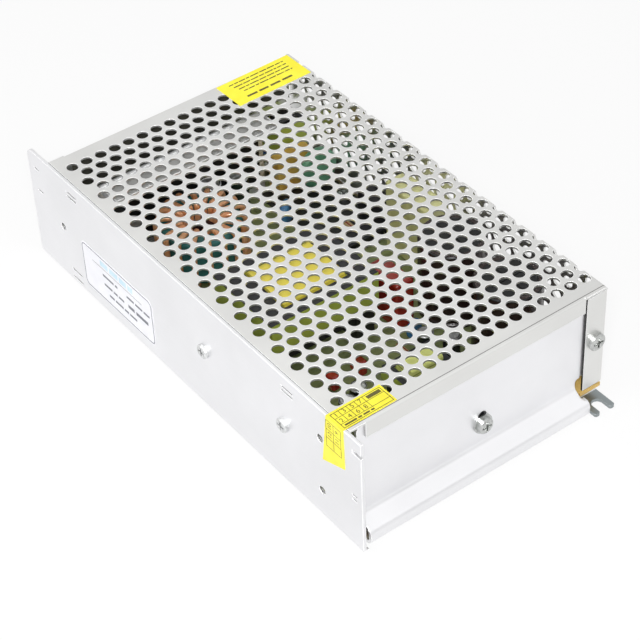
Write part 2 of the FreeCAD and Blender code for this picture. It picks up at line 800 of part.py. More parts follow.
def toroid_turns():
    """Turns of thick copper wire round the ring core, each a closed loop."""
    across, along = choke_place
    gap = choke_wire / 2 + 0.1
    inner = choke_inner - gap
    outer = choke_outer + gap
    low = choke_z[0] - gap
    high = choke_z[1] + gap
    bend = 2.2
    corners = [(inner, low), (outer, low), (outer, high), (inner, high)]
    edges = []
    for index, (radius, level) in enumerate(corners):
        before = Vector(*corners[index - 1], 0)
        here = Vector(radius, level, 0)
        after = Vector(*corners[(index + 1) % 4], 0)
        into = (here - before).normalize()
        out = (after - here).normalize()
        first = here - into * bend
        last = here + out * bend
        middle = here + (out - into).normalize() * bend * (math.sqrt(2) - 1)
        following = after - out * bend
        edges += [Part.Arc(first, middle, last).toShape(), Part.makeLine(last, following)]
    path = Part.Wire(Part.__sortEdges__(edges))
    path.rotate(Vector(0, 0, 0), Vector(1, 0, 0), 90)
    start = Vector((inner + outer) / 2, 0, low)
    profile = Part.Wire(Part.makeCircle(choke_wire / 2, start, Vector(1, 0, 0)))
    sweep = path.makePipeShell([profile], True, True)
    turns = []
    for step in range(choke_turns):
        turn = sweep.copy()
        turn.rotate(Vector(0, 0, 0), Vector(0, 0, 1), 360 * step / choke_turns + 6)
        turn.translate(place(across, along, 0))
        turns.append(turn)
    return turns


def electrolytic(across, along, radius, tall):
    """Sleeved aluminium can with a rolled neck and a scored, sunk top."""
    foot = board_top
    neck = foot + 2.4
    points = [(0, foot), (radius - 0.4, foot), (radius, foot + 0.4), (radius, neck - 0.6), (radius - 0.5, neck),
              (radius, neck + 0.6), (radius, foot + tall - 0.5), (radius - 0.5, foot + tall),
              (radius * 0.84, foot + tall), (radius * 0.8, foot + tall - 0.4), (0, foot + tall - 0.4)]
    outline = [Vector(a, 0, b) for a, b in points]
    wire = Part.makePolygon(outline + [outline[0]])
    can = Part.Face(wire).revolve(Vector(0, 0, 0), Vector(0, 0, 1), 360)
    can.translate(place(across, along, 0))
    top = foot + tall - 0.4
    vents = []
    for angle in (0, 90):
        groove = block((across - radius * 0.6, across + radius * 0.6), (along - 0.25, along + 0.25),
                       (top - 0.25, top + 1))
        vents.append(tip_over(groove, across, along, 0, Vector(0, 0, 1), angle))
    return can.cut(vents)


def box_capacitor(across, along, z_top, round_edge):
    """Moulded or dipped box capacitor on two short legs."""
    foot = board_top + 0.6
    body = block(across, along, (foot, z_top))
    body = body.makeFillet(round_edge, body.Edges)
    middle = (along[0] + along[1]) / 2
    legs = [rod(0.4, (board_top, foot + 1), across=a, along=middle) for a in (across[0] + 2, across[1] - 2)]
    if across[1] - across[0] < along[1] - along[0]:
        middle = (across[0] + across[1]) / 2
        legs = [rod(0.4, (board_top, foot + 1), across=middle, along=b) for b in (along[0] + 2, along[1] - 2)]
    return body.fuse(legs)


def disc_part(across, along, radius, thick, turn):
    """Dipped disc that stands on two legs, turned about the upright."""
    centre = board_top + 1.6 + radius
    disc = rod(radius, (along - thick / 2, along + thick / 2), across=across, z=centre)
    disc = disc.makeFillet(thick * 0.4, [edge for edge in disc.Edges if edge.Closed])
    legs = [rod(0.35, (board_top, centre - radius * 0.5), across=across + side * radius * 0.5, along=along)
            for side in (-1, 1)]
    return tip_over(disc.fuse(legs), across, along, 0, Vector(0, 0, 1), turn)


def resistor(across, along, turn):
    """Small resistor lying just above the board on its bent leads."""
    radius = 1.2
    level = board_top + radius + 0.3
    body = rod(radius, (across - 3.2, across + 3.2), along=along, z=level)
    body = body.makeFillet(0.5, [edge for edge in body.Edges if edge.Closed])
    leads = [rod(0.3, (across - 4.8, across + 4.8), along=along, z=level)]
    leads += [rod(0.3, (board_top, level + 0.3), across=across + side * 4.5, along=along) for side in (-1, 1)]
    return tip_over(body.fuse(leads), across, along, 0, Vector(0, 0, 1), turn)


def flat_package(along, z):
    """Power device flat against the solid wall: tab, moulded body and three legs."""
    back = chassis_sheet + pad_sheet
    half = package_width / 2
    tab = block((back, back + 1.3), (along - half, along + half), (z - 4, z + 10))
    tab = tab.cut(rod(1.6, (back - 1, back + 2), along=along, z=z + 7))
    body = block((back, back + package_depth), (along - half, along + half), (z - 4.5, z + 4.3))
    body = body.makeChamfer(0.5, [edge for edge in body.Edges
                                  if edge.BoundBox.XMin > place(back + 2, 0, 0).x])
    legs = []
    for step in (-1, 0, 1):
        middle = along + step * 2.54
        legs.append(block((back + 2.0, back + 2.7), (middle - 0.4, middle + 0.4), (board_top, z - 4)))
    return tab.fuse([body] + legs)


def wall_devices(along, z):
    """A pair of power devices with their pad, their clamp bar and its screw."""
    shift = package_width / 2 + screw_radius + 0.35
    devices = [flat_package(along - shift, z), flat_package(along + shift, z)]
    reach = shift + package_width / 2 + 0.6
    pad = block((chassis_sheet, chassis_sheet + pad_sheet), (along - reach, along + reach), (z - 6, z + 11))
    pad = pad.cut(rod(screw_radius + screw_clearance, (0, 3), along=along, z=z))
    front = chassis_sheet + pad_sheet + package_depth
    clamp = block((front, front + clamp_sheet), (along - reach + 1, along + reach - 1), (z - 3.4, z + 3.4))
    clamp = clamp.makeFillet(1.0, [edge for edge in clamp.Edges if edge.BoundBox.XLength > clamp_sheet - 0.1])
    clamp = clamp.cut(rod(screw_radius + 0.05, (front - 1, front + clamp_sheet + 1), along=along, z=z))
    screw = screw_facing_left(along, z, head_radius, screw_radius, front + clamp_sheet + 0.8, side_head)
    return devices, pad, clamp, screw


def heatsink():
    """Aluminium angle on the board, its top leg under the cover."""
    across = (heatsink_across[0], heatsink_across[1])
    half = heatsink_sheet / 2
    web = heatsink_along[1] - half
    path = [(web, board_top), (web, heatsink_top - half), (heatsink_along[0], heatsink_top - half)]
    return fold_along(path, [2.2], heatsink_sheet, across)


def fuse_parts():
    """Glass fuse and the two spring clips that hold it."""
    across, along = fuse_place
    level = board_top + 3.0
    glass = rod(2.2, (across - 5.2, across + 5.2), along=along, z=level)
    caps = []
    clips = []
    for side in (-1, 1):
        outer = across + side * 10
        inner = across + side * 5.2
        caps.append(rod(2.6, tuple(sorted((inner, outer))), along=along, z=level))
        base = tuple(sorted((inner + side * 0.6, outer - side * 0.6)))
        clip = block(base, (along - 3.1, along + 3.1), (board_top, level + 2.2))
        clip = clip.cut(block((base[0] - 1, base[1] + 1), (along - 2.7, along + 2.7), (board_top + 0.4, level + 4)))
        clips.append(clip)
    return glass.fuse(caps), clips


def control_chip():
    """Sixteen-pin control chip that stands on its pins."""
    across, along = chip_place
    foot = board_top + 0.6
    body = block((across - 9.6, across + 9.6), (along - 3.2, along + 3.2), (foot, foot + 3.4))
    body = body.cut(rod(0.9, (foot + 3.0, foot + 4), across=across - 9.6, along=along))
    pins = []
    for step in range(8):
        middle = across + (step - 3.5) * 2.54
        for side in (-1, 1):
            inner = along + side * 3.1
            outer = along + side * 3.9
            pins.append(block((middle - 0.5, middle + 0.5), tuple(sorted((inner, outer))), (foot + 1.4, foot + 1.8)))
            pins.append(block((middle - 0.25, middle + 0.25), tuple(sorted((outer, outer - side * 0.4))),
                              (board_top, foot + 1.8)))
    return body.fuse(pins)


def lamp():
    """Small domed lamp with a collar, on two legs."""
    across, along = lamp_place
    foot = board_top + 2.5
    body = rod(1.9, (foot, foot + 1.0), across=across, along=along)
    body = body.fuse(rod(1.5, (foot, foot + 3.6), across=across, along=along))
    dome = Part.makeSphere(1.5, place(across, along, foot + 3.6))
    legs = [rod(0.3, (board_top, foot + 0.5), across=across + side * 1.0, along=along) for side in (-1, 1)]
    return body.fuse([dome] + legs)


def trimmer():
    """Square trimmer body with a well, and the slotted rotor that turns in it."""
    across, along = trimmer_place
    half = trimmer_size / 2
    top = board_top + trimmer_height
    floor = top - 1.5
    body = block((across - half, across + half), (along - half, along + half), (board_top, top))
    body = body.makeChamfer(0.4, [edge for edge in body.Edges if edge.BoundBox.ZLength > trimmer_height - 1])
    body = body.cut(rod(rotor_radius + 0.3, (floor, top + 1), across=across, along=along))
    body = body.cut(rod(0.8 + pin_clearance, (floor - 2.6, top), across=across, along=along))
    rotor = rod(rotor_radius, (floor, top + 0.4), across=across, along=along)
    rotor = rotor.fuse(rod(0.8, (floor - 2.4, floor), across=across, along=along))
    slot_depth = (top - 0.4, top + 1)
    slot = block((across - rotor_radius - 1, across + rotor_radius + 1), (along - 0.35, along + 0.35), slot_depth)
    return body, rotor.cut(slot)


def selector():
    """Slide switch against the perforated wall, and its sliding knob."""
    outer = right_inside - 0.1
    inner = outer - selector_depth
    foot = flange_height + 0.3
    window_length, window_height = selector_window
    middle = selector_along
    body = block((inner, outer), (middle - selector_length / 2, middle + selector_length / 2),
                 (foot, board_top + selector_height))
    legs = [rod(0.5, (board_top, foot), across=inner + 1.5, along=middle + side * 5) for side in (-1, 0, 1)]
    well = block((outer - 3.0, outer + 1), (middle - window_length / 2, middle + window_length / 2),
                 (selector_mid - window_height / 2, selector_mid + window_height / 2))
    start = middle - window_length / 2 + slider_gap
    slider = block((outer - 2.9, outer - 0.1), (start, start + slider_length),
                   (selector_mid - window_height / 2 + slider_gap, selector_mid + window_height / 2 - slider_gap))
    grooves = [block((outer - 0.5, outer + 1), (start + step * 1.5 - 0.3, start + step * 1.5 + 0.3), (0, height))
               for step in (1, 2, 3)]
    return body.cut(well).fuse(legs), slider.cut(grooves)


def way_middle(way):
    """Across of the middle of one way of the terminal block."""
    return terminal_left + barrier / 2 + way_pitch * (way + 0.5)


def terminal_block():
    """Moulded block with a barrier between the ways and ears for the flap."""
    right = terminal_left + ways * way_pitch + barrier
    far = length - 1.7
    near = far - block_depth
    body_top = board_top + block_body
    body = block((terminal_left, right), (near, far), (board_top, body_top))
    walls = []
    for step in range(ways + 1):
        left = terminal_left + step * way_pitch
        walls.append(block((left, left + barrier), (far - barrier_depth, far), (body_top, barrier_top)))
    walls.append(block((terminal_left, right), (far - barrier_depth - 1.2, far - barrier_depth),
                       (body_top, barrier_top)))
    body = body.fuse(walls)
    ears = []
    for left in (terminal_left, right - barrier):
        ear = block((left, left + barrier), (hinge_along - 2.4, hinge_along + 2.4), (barrier_top - 1, hinge_z))
        ears += [ear, rod(2.4, (left, left + barrier), along=hinge_along, z=hinge_z)]
    body = body.fuse(ears).removeSplitter()
    holes = [rod(flap_pin + pin_clearance, (terminal_left - 1, right + 1), along=hinge_along, z=hinge_z)]
    for way in range(ways):
        holes.append(rod(terminal_screw_radius + 0.3, (board_top + 2, body_top + 1),
                         across=way_middle(way), along=screw_line))
    return body.cut(holes)


def terminal_metal():
    """Contact plate, square clamp and screw of each way."""
    plates, clamps, screws = [], [], []
    body_top = board_top + block_body
    half = (way_pitch - barrier) / 2 - 0.2
    far = length - 1.7
    for way in range(ways):
        middle = way_middle(way)
        level = body_top + plate_sheet
        plate = block((middle - half, middle + half), (far - barrier_depth + 0.3, far - 0.6), (body_top, level))
        plates.append(plate.cut(rod(terminal_screw_radius + 0.1, (body_top - 1, level + 1),
                                    across=middle, along=screw_line)))
        top = level + plate_sheet
        clamp = block((middle - half + 0.2, middle + half - 0.2), (screw_line - 3.4, screw_line + 3.4), (level, top))
        clamps.append(clamp.cut(rod(terminal_screw_radius + 0.1, (level - 1, top + 1),
                                    across=middle, along=screw_line)))
        screws.append(upright_screw(middle, screw_line, top, terminal_head_radius, terminal_screw_radius,
                                    8.0, terminal_head_height))
    return plates, clamps, screws


def terminal_flap():
    """Clear flap over the terminals, with a barrel and two hinge pins."""
    right = terminal_left + ways * way_pitch + barrier
    left_side = terminal_left + barrier + 0.3
    right_side = right - barrier - 0.3
    low = hinge_z - flap_barrel
    far = length - 0.2
    barrel = rod(flap_barrel, (left_side, right_side), along=hinge_along, z=hinge_z)
    pins = rod(flap_pin, (left_side - barrier - 0.2, right_side + barrier + 0.2), along=hinge_along, z=hinge_z)
    plate = block((left_side, right_side), (hinge_along, far), (low, low + flap_sheet))
    lip = block((left_side, right_side), (far - 1.0, far), (low - 3.4, low + flap_sheet))
    return barrel.fuse([pins, plate, lip]).removeSplitter()


def top_sticker():
    """Plain sticker near the far right corner of the top."""
    long_side, short_side = top_sticker_size
    across, along = top_sticker_place
    sheet = block((across - long_side / 2, across + long_side / 2), (along - short_side / 2, along + short_side / 2),
                  (height, height + sticker_sheet))
    return tip_over(sheet, across, along, 0, Vector(0, 0, 1), 1.0)


def seal_sticker():
    """Seal over the seam at the near left corner, folded down the solid wall."""
    outside = -sticker_sheet
    top_outline = [place(outside, a, height) for a in seal_along]
    top_outline += [place(seal_reach, a, height) for a in (seal_along[1] + 0.4, seal_along[0] + 0.4)]
    top = prism(top_outline, Vector(0, 0, sticker_sheet))
    side_outline = [place(outside, seal_along[0], height + sticker_sheet),
                    place(outside, seal_along[1], height + sticker_sheet),
                    place(outside, seal_along[1] + 2.6, seal_foot[1]), place(outside, seal_along[0] - 0.2, seal_foot[0])]
    side = prism(side_outline, Vector(sticker_sheet, 0, 0))
    return top.fuse(side).removeSplitter()


def rating_label():
    """Rating label on the solid wall, with round corners."""
    along, z = label_along, label_z
    sheet = block((-sticker_sheet, 0), along, z)
    edges = [edge for edge in sheet.Edges if edge.BoundBox.XLength > sticker_sheet / 2]
    return sheet.makeFillet(label_round, edges)


def board_parts():
    """Everything that is soldered to the board, and what it stands on."""
    save("circuit_board", circuit_board())
    save("insulating_film", insulating_film())
    save("board_spacers", *spacers())
    save("board_screws", *board_screws())
    for name, core, core_z, winding_z, round_edge in (
            ("main_transformer", main_core, main_core_z, main_winding_z, 2.5),
            ("driver_transformer", driver_core, driver_core_z, driver_winding_z, 1.4),
            ("filter_choke", filter_choke, filter_core_z, filter_winding_z, 1.4)):
        save(name + "_core", *ferrite_core(z=core_z, **core))
        save(name + "_winding", winding(core_z=core_z, z=winding_z, round_edge=round_edge, **core))
        save(name + "_bobbin", bobbin(core["middle"], core["outer"], core["backs"], core_z, winding_z[0]))
    save("output_choke_core", toroid_core())
    save("output_choke_winding", *toroid_turns())
    save("bulk_capacitors", *[electrolytic(a, b, bulk_radius, bulk_tall) for a, b in bulk_places])
    save("output_capacitors", *[electrolytic(a, b, output_radius, output_tall) for a, b in output_places])
    save("small_capacitors", *[electrolytic(a, b, small_radius, small_tall) for a, b in small_places])
    save("red_capacitors", *[box_capacitor(*size, 1.2) for size in red_capacitors])
    save("yellow_capacitor", box_capacitor(*yellow_capacitor, 1.2))
    save("amber_capacitor", box_capacitor(*amber_capacitor, 0.6))
    save("blue_capacitors", *[disc_part(*disc) for disc in blue_discs])
    save("thermistor", disc_part(*green_disc))
    save("resistors", *[resistor(*where) for where in resistor_places])
    save("heatsink", heatsink())
    glass, clips = fuse_parts()
    save("fuse", glass)
    save("fuse_clips", *clips)
    save("control_chip", control_chip())
    save("indicator_lamp", lamp())
    body, rotor = trimmer()
    save("trimmer_body", body)
    save("trimmer_rotor", rotor)
    body, slider = selector()
    save("selector_body", body)
    save("selector_slider", slider)


def wall_parts():
    """Power devices that are clamped to the walls, with their fixings."""
    names = ("power_transistors", "rectifier_diodes")
    pads, clamps, screws = [], [], []
    for name, (along, z) in zip(names, wall_device_screws):
        devices, pad, clamp, screw = wall_devices(along, z)
        save(name, *devices)
        pads.append(pad)
        clamps.append(clamp)
        screws.append(screw)
    save("insulating_pads", *pads)
    save("clamp_bars", *clamps)
    save("clamp_screws", *screws)
    save("bridge_rectifier", bridge_rectifier())
    screw, washer, nut = bridge_hardware()
    save("bridge_screw", screw)
    save("bridge_washer", washer)
    save("bridge_nut", nut)


def terminal_parts():
    """Terminal block with its metal parts and its flap."""
    save("terminal_block", terminal_block())
    plates, clamps, screws = terminal_metal()
    save("terminal_plates", *plates)
    save("terminal_clamps", *clamps)
    save("terminal_screws", *screws)
    save("terminal_flap", terminal_flap())


os.makedirs("parts", exist_ok=True)
save("chassis", chassis())
save("cover", cover())
save("cover_screw", cover_screw())
board_parts()
wall_parts()
terminal_parts()
save("top_sticker", top_sticker())
save("seal_sticker", seal_sticker())
save("rating_label", rating_label())
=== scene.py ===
"""Enclosed switching power supply with a perforated cover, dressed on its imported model."""
import math

import bpy
from mathutils import Euler, Matrix, Vector


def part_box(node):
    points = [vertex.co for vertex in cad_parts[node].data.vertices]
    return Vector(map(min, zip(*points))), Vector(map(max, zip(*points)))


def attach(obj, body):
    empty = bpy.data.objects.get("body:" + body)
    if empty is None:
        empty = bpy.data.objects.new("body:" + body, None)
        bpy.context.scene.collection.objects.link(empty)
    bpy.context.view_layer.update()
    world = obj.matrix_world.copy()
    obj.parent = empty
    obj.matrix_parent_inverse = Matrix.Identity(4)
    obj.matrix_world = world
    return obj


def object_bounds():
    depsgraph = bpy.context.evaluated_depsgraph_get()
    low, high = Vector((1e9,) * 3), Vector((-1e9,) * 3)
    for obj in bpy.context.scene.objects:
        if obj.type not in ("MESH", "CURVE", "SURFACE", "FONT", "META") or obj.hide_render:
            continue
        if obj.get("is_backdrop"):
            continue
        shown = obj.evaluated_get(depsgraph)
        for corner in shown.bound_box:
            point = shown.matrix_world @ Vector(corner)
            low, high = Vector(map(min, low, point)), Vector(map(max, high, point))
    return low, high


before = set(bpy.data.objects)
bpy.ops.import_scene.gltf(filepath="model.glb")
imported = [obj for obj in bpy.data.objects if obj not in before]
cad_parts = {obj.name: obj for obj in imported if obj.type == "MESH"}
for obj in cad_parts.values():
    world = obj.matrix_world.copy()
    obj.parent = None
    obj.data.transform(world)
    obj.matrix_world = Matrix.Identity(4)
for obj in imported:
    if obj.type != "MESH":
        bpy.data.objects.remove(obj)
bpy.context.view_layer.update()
scene = bpy.context.scene


# Chassis
# One sheet of bare aluminium, folded into the base, the solid left wall and the
# near end wall. Rolled and lightly brushed, so it is pale with a soft sheen. Its
# edges get a painted highlight, and its forked tab at the near right corner is
# darkened with painted shade.
mm = 0.001


def colour(code):
    """Linear colour of an sRGB hex value."""
    parts = [int(code[start:start + 2], 16) / 255 for start in (1, 3, 5)]
    return [part / 12.92 if part <= 0.04045 else ((part + 0.055) / 1.055) ** 2.4 for part in parts] + [1.0]


def surface(name, **settings):
    """New material and its main shader, with the shader's values by socket name."""
    material = bpy.data.materials.new(name)
    material.use_nodes = True
    shader = material.node_tree.nodes["Principled BSDF"]
    for socket, value in settings.items():
        shader.inputs[socket.replace("_", " ")].default_value = value
    return material, shader


def add_node(material, kind, links=(), values=(), **properties):
    """Add a node with its properties, its socket values and its links into it."""
    node = material.node_tree.nodes.new("ShaderNode" + kind)
    for name, value in properties.items():
        setattr(node, name, value)
    for socket, value in dict(values).items():
        node.inputs[socket].default_value = value
    for socket, source in dict(links).items():
        material.node_tree.links.new(source, node.inputs[socket])
    return node


def give(material, *names):
    """Give a CAD node its material."""
    for name in names:
        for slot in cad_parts[name].material_slots:
            slot.material = material


def rolled_sheet(name, code, rough, stretch):
    """Bare aluminium sheet: brushed along one way, with a faint cloudy sheen."""
    # Real brushing is finer. It is drawn at this step so that it shows.
    brush_step = 1.11 * mm
    cloud_step = 35.7 * mm
    material, shader = surface(name)
    tree = material.node_tree
    where = add_node(material, "TexCoord")
    grain = add_node(material, "Mapping", {"Vector": where.outputs["Object"]}, {"Scale": stretch})
    brushed = add_node(material, "TexNoise", {"Vector": grain.outputs[0]},
                       {"Scale": 1 / brush_step, "Detail": 3.0})
    cloud = add_node(material, "TexNoise", {"Vector": where.outputs["Object"]},
                     {"Scale": 1 / cloud_step, "Detail": 4.0})
    both = add_node(material, "Math", {0: brushed.outputs[0], 1: cloud.outputs[0]}, operation="ADD")
    roughness = add_node(material, "MapRange", {"Value": both.outputs[0]},
                         {"From Min": 0.6, "From Max": 1.4, "To Min": rough - 0.07, "To Max": rough + 0.07})
    tone = add_node(material, "ValToRGB", {"Fac": cloud.outputs[0]})
    tone.color_ramp.elements[0].position = 0.3
    tone.color_ramp.elements[0].color = [part * 0.93 for part in colour(code)[:3]] + [1.0]
    tone.color_ramp.elements[1].position = 0.7
    tone.color_ramp.elements[1].color = colour(code)
    bump = add_node(material, "Bump", {"Height": brushed.outputs[0]},
                    {"Strength": 0.06, "Distance": 0.05 * mm})
    tree.links.new(tone.outputs[0], shader.inputs["Base Color"])
    tree.links.new(roughness.outputs[0], shader.inputs["Roughness"])
    tree.links.new(bump.outputs[0], shader.inputs["Normal"])
    return material


def rounded_edges_painted_highlight(material, radius):
    """Round a bare sheet's edges in the shader and whiten them as a painted highlight."""
    tree = material.node_tree
    shader = tree.nodes["Principled BSDF"]
    rounded = add_node(material, "Bevel", values={"Radius": radius}, samples=6)
    bump = shader.inputs["Normal"].links[0].from_node
    flat = add_node(material, "NewGeometry")
    along_flat = add_node(material, "VectorMath", {0: rounded.outputs[0], 1: flat.outputs["Normal"]},
                          operation="DOT_PRODUCT")
    rim = add_node(material, "MapRange", {"Value": along_flat.outputs["Value"]},
                   {"From Min": 0.995, "From Max": 0.93})
    plain = shader.inputs["Base Color"].links[0].from_socket
    # Painted highlight: on the rim the colour turns white and the metal less metallic.
    white = add_node(material, "Mix", {0: rim.outputs[0], 6: plain}, {7: colour("#ffffff")},
                     data_type="RGBA")
    metallic = add_node(material, "MapRange", {"Value": rim.outputs[0]}, {"To Min": 1.0, "To Max": 0.25})
    tree.links.new(rounded.outputs[0], bump.inputs["Normal"])
    tree.links.new(white.outputs[2], shader.inputs["Base Color"])
    tree.links.new(metallic.outputs[0], shader.inputs["Metallic"])


low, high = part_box("chassis")
tab_left = high[0] - 9.2 * mm
tab_far = low[1] + 9.7 * mm
chassis_sheet = rolled_sheet("bare aluminium sheet", "#f1f1f3", 0.36, (1.0, 0.06, 1.0))
rounded_edges_painted_highlight(chassis_sheet, 0.5 * mm)
sheet_shader = chassis_sheet.node_tree.nodes["Principled BSDF"]
where = add_node(chassis_sheet, "TexCoord")
place = add_node(chassis_sheet, "SeparateXYZ", {0: where.outputs["Object"]})
# Painted shade: the forked tab at the near right corner is darkened to #979ea0.
right = add_node(chassis_sheet, "Math", {0: place.outputs[0]}, {1: tab_left}, operation="GREATER_THAN")
near = add_node(chassis_sheet, "Math", {0: place.outputs[1]}, {1: tab_far}, operation="LESS_THAN")
on_tab = add_node(chassis_sheet, "Math", {0: right.outputs[0], 1: near.outputs[0]}, operation="MULTIPLY")
plain = sheet_shader.inputs["Base Color"].links[0].from_socket
tab_painted_shade = add_node(chassis_sheet, "Mix", {0: on_tab.outputs[0], 6: plain}, {7: colour("#979ea0")},
                  data_type="RGBA")
chassis_sheet.node_tree.links.new(tab_painted_shade.outputs[2], sheet_shader.inputs["Base Color"])
give(chassis_sheet, "chassis")


# Cover
# A thinner sheet of the same aluminium, punched and folded down over the right
# wall. Each hole's rim is whitened as a painted highlight. The left-facing edges
# at its left wall and where its right flange meets the near end are darkened as
# painted shadow, and a fine line on the top along the near fold is darker.
low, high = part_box("cover")
wall_seam = low[0] + 0.95 * mm
flange_seam = high[0] - 15.7 * mm
flange_inside = low[1] + 1.1 * mm
fold_start = low[1] + 1.4 * mm
fold_half_width = 0.16 * mm
just_under_top = high[2] - 0.5 * mm
cover_sheet = rolled_sheet("punched aluminium sheet", "#e5e5e3", 0.40, (0.06, 1.0, 1.0))
rounded_edges_painted_highlight(cover_sheet, 0.4 * mm)
cover_shader = cover_sheet.node_tree.nodes["Principled BSDF"]
plain = cover_shader.inputs["Base Color"].links[0].from_socket
flat = add_node(cover_sheet, "NewGeometry")
facing = add_node(cover_sheet, "SeparateXYZ", {0: flat.outputs["True Normal"]})
left_edge = add_node(cover_sheet, "Math", {0: facing.outputs[0]}, {1: -0.9}, operation="LESS_THAN")
where = add_node(cover_sheet, "TexCoord")
place = add_node(cover_sheet, "SeparateXYZ", {0: where.outputs["Object"]})
at_near_end = add_node(cover_sheet, "Math", {0: place.outputs[1]}, {1: flange_inside}, operation="LESS_THAN")
at_right = add_node(cover_sheet, "Math", {0: place.outputs[0]}, {1: flange_seam}, operation="GREATER_THAN")
corner = add_node(cover_sheet, "Math", {0: at_near_end.outputs[0], 1: at_right.outputs[0]},
                  operation="MULTIPLY")
at_left = add_node(cover_sheet, "Math", {0: place.outputs[0]}, {1: wall_seam}, operation="LESS_THAN")
seams = add_node(cover_sheet, "Math", {0: corner.outputs[0], 1: at_left.outputs[0]}, operation="MAXIMUM")
# Painted shadow: left-facing edges in the seams are darkened to #3f3f3e.
seam_painted_shadow = add_node(cover_sheet, "Math", {0: left_edge.outputs[0], 1: seams.outputs[0]},
                    operation="MULTIPLY")
at_fold = add_node(cover_sheet, "Math", {0: place.outputs[1]}, {1: fold_start, 2: fold_half_width},
                   operation="COMPARE")
on_top = add_node(cover_sheet, "Math", {0: place.outputs[2]}, {1: just_under_top}, operation="GREATER_THAN")
fold_mark = add_node(cover_sheet, "Math", {0: at_fold.outputs[0], 1: on_top.outputs[0]},
                     operation="MULTIPLY")
creased = add_node(cover_sheet, "Mix", {0: fold_mark.outputs[0], 6: plain}, {7: colour("#8a8a88")},
                   data_type="RGBA")
seam_shadowed = add_node(cover_sheet, "Mix", {0: seam_painted_shadow.outputs[0], 6: creased.outputs[2]}, {7: colour("#3f3f3e")},
                 data_type="RGBA")
cover_sheet.node_tree.links.new(seam_shadowed.outputs[2], cover_shader.inputs["Base Color"])
give(cover_sheet, "cover")


# Screws, washer, nut and clamp bars
# Zinc-plated steel, bright on top and a little darker where the plating is thin.
# The two screws of the left wall have a whiter, duller plating than the rest.
def plated(name, code, rough, stain_step, metallic=1.0):
    """Bright plated metal with small stains and fine marks."""
    material, shader = surface(name, Metallic=metallic)
    tree = material.node_tree
    where = add_node(material, "TexCoord")
    stain = add_node(material, "TexNoise", {"Vector": where.outputs["Object"]},
                     {"Scale": 1 / stain_step, "Detail": 6.0})
    tone = add_node(material, "ValToRGB", {"Fac": stain.outputs[0]})
    tone.color_ramp.elements[0].position = 0.35
    tone.color_ramp.elements[0].color = [part * 0.72 for part in colour(code)[:3]] + [1.0]
    tone.color_ramp.elements[1].position = 0.65
    tone.color_ramp.elements[1].color = colour(code)
    roughness = add_node(material, "MapRange", {"Value": stain.outputs[0]},
                         {"To Min": rough - 0.08, "To Max": rough + 0.12})
    bump = add_node(material, "Bump", {"Height": stain.outputs[0]},
                    {"Strength": 0.15, "Distance": 0.04 * mm})
    tree.links.new(tone.outputs[0], shader.inputs["Base Color"])
    tree.links.new(roughness.outputs[0], shader.inputs["Roughness"])
    tree.links.new(bump.outputs[0], shader.inputs["Normal"])
    return material


give(plated("zinc-plated steel", "#cdcfcd", 0.28, 1.11 * mm), "cover_screw", "board_screws", "clamp_bars",
     "bridge_screw", "bridge_washer", "bridge_nut", "terminal_screws", "terminal_clamps")
give(plated("white zinc-plated steel", "#e4e5e5", 0.42, 1.11 * mm, 0.85), "clamp_screws")
give(plated("tinned brass", "#cfcdc6", 0.30, 2.0 * mm), "board_spacers", "fuse_clips", "terminal_plates")


# Circuit board
# Glass and paper laminate: tan at its sawn edge and on the bare corner by the tab,
# with a green lacquer on top. The copper fields under it show lighter than the gaps
# between them.
low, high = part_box("circuit_board")
lacquer_right = high[0] - 12.6 * mm
lacquer_near = low[1] + 11.6 * mm
copper_gap = 1.1 * mm
speckle_step = 1.43 * mm
board, board_shader = surface("lacquered laminate board", Roughness=0.42)
where = add_node(board, "TexCoord")
normal = add_node(board, "SeparateXYZ", {0: add_node(board, "NewGeometry").outputs["Normal"]})
upward = add_node(board, "Math", {0: normal.outputs[2]}, {1: 0.5}, operation="GREATER_THAN")
tracks = add_node(board, "TexBrick", {"Vector": where.outputs["Object"]},
                  {"Scale": 1.0, "Mortar Size": copper_gap, "Mortar Smooth": 0.1, "Brick Width": 19.0 * mm,
                   "Row Height": 8.3 * mm, "Color1": colour("#8f9a66"), "Color2": colour("#848f5d"),
                   "Mortar": colour("#67724a")})
tracks.offset = 0.37
tracks.squash = 0.7
speckle = add_node(board, "TexNoise", {"Vector": where.outputs["Object"]},
                   {"Scale": 1 / speckle_step, "Detail": 2.0})
lacquer = add_node(board, "Mix", {0: speckle.outputs[0], 6: tracks.outputs[0]}, {7: colour("#9aa470")},
                   data_type="RGBA", clamp_factor=True)
edge = add_node(board, "ValToRGB", {"Fac": speckle.outputs[0]})
edge.color_ramp.elements[0].color = colour("#c39b4c")
edge.color_ramp.elements[1].color = colour("#e3c478")
place = add_node(board, "SeparateXYZ", {0: where.outputs["Object"]})
inward = add_node(board, "Math", {0: place.outputs[0]}, {1: lacquer_right}, operation="LESS_THAN")
beyond = add_node(board, "Math", {0: place.outputs[1]}, {1: lacquer_near}, operation="GREATER_THAN")
coated = add_node(board, "Math", {0: inward.outputs[0], 1: beyond.outputs[0]}, operation="MAXIMUM")
coated = add_node(board, "Math", {0: coated.outputs[0], 1: upward.outputs[0]}, operation="MULTIPLY")
both = add_node(board, "Mix", {0: coated.outputs[0], 6: edge.outputs[0], 7: lacquer.outputs[2]},
                data_type="RGBA")
raised = add_node(board, "Bump", {"Height": tracks.outputs[1]}, {"Strength": 0.3, "Distance": 0.05 * mm},
                  invert=True)
board.node_tree.links.new(both.outputs[2], board_shader.inputs["Base Color"])
board.node_tree.links.new(raised.outputs[0], board_shader.inputs["Normal"])
give(board, "circuit_board")


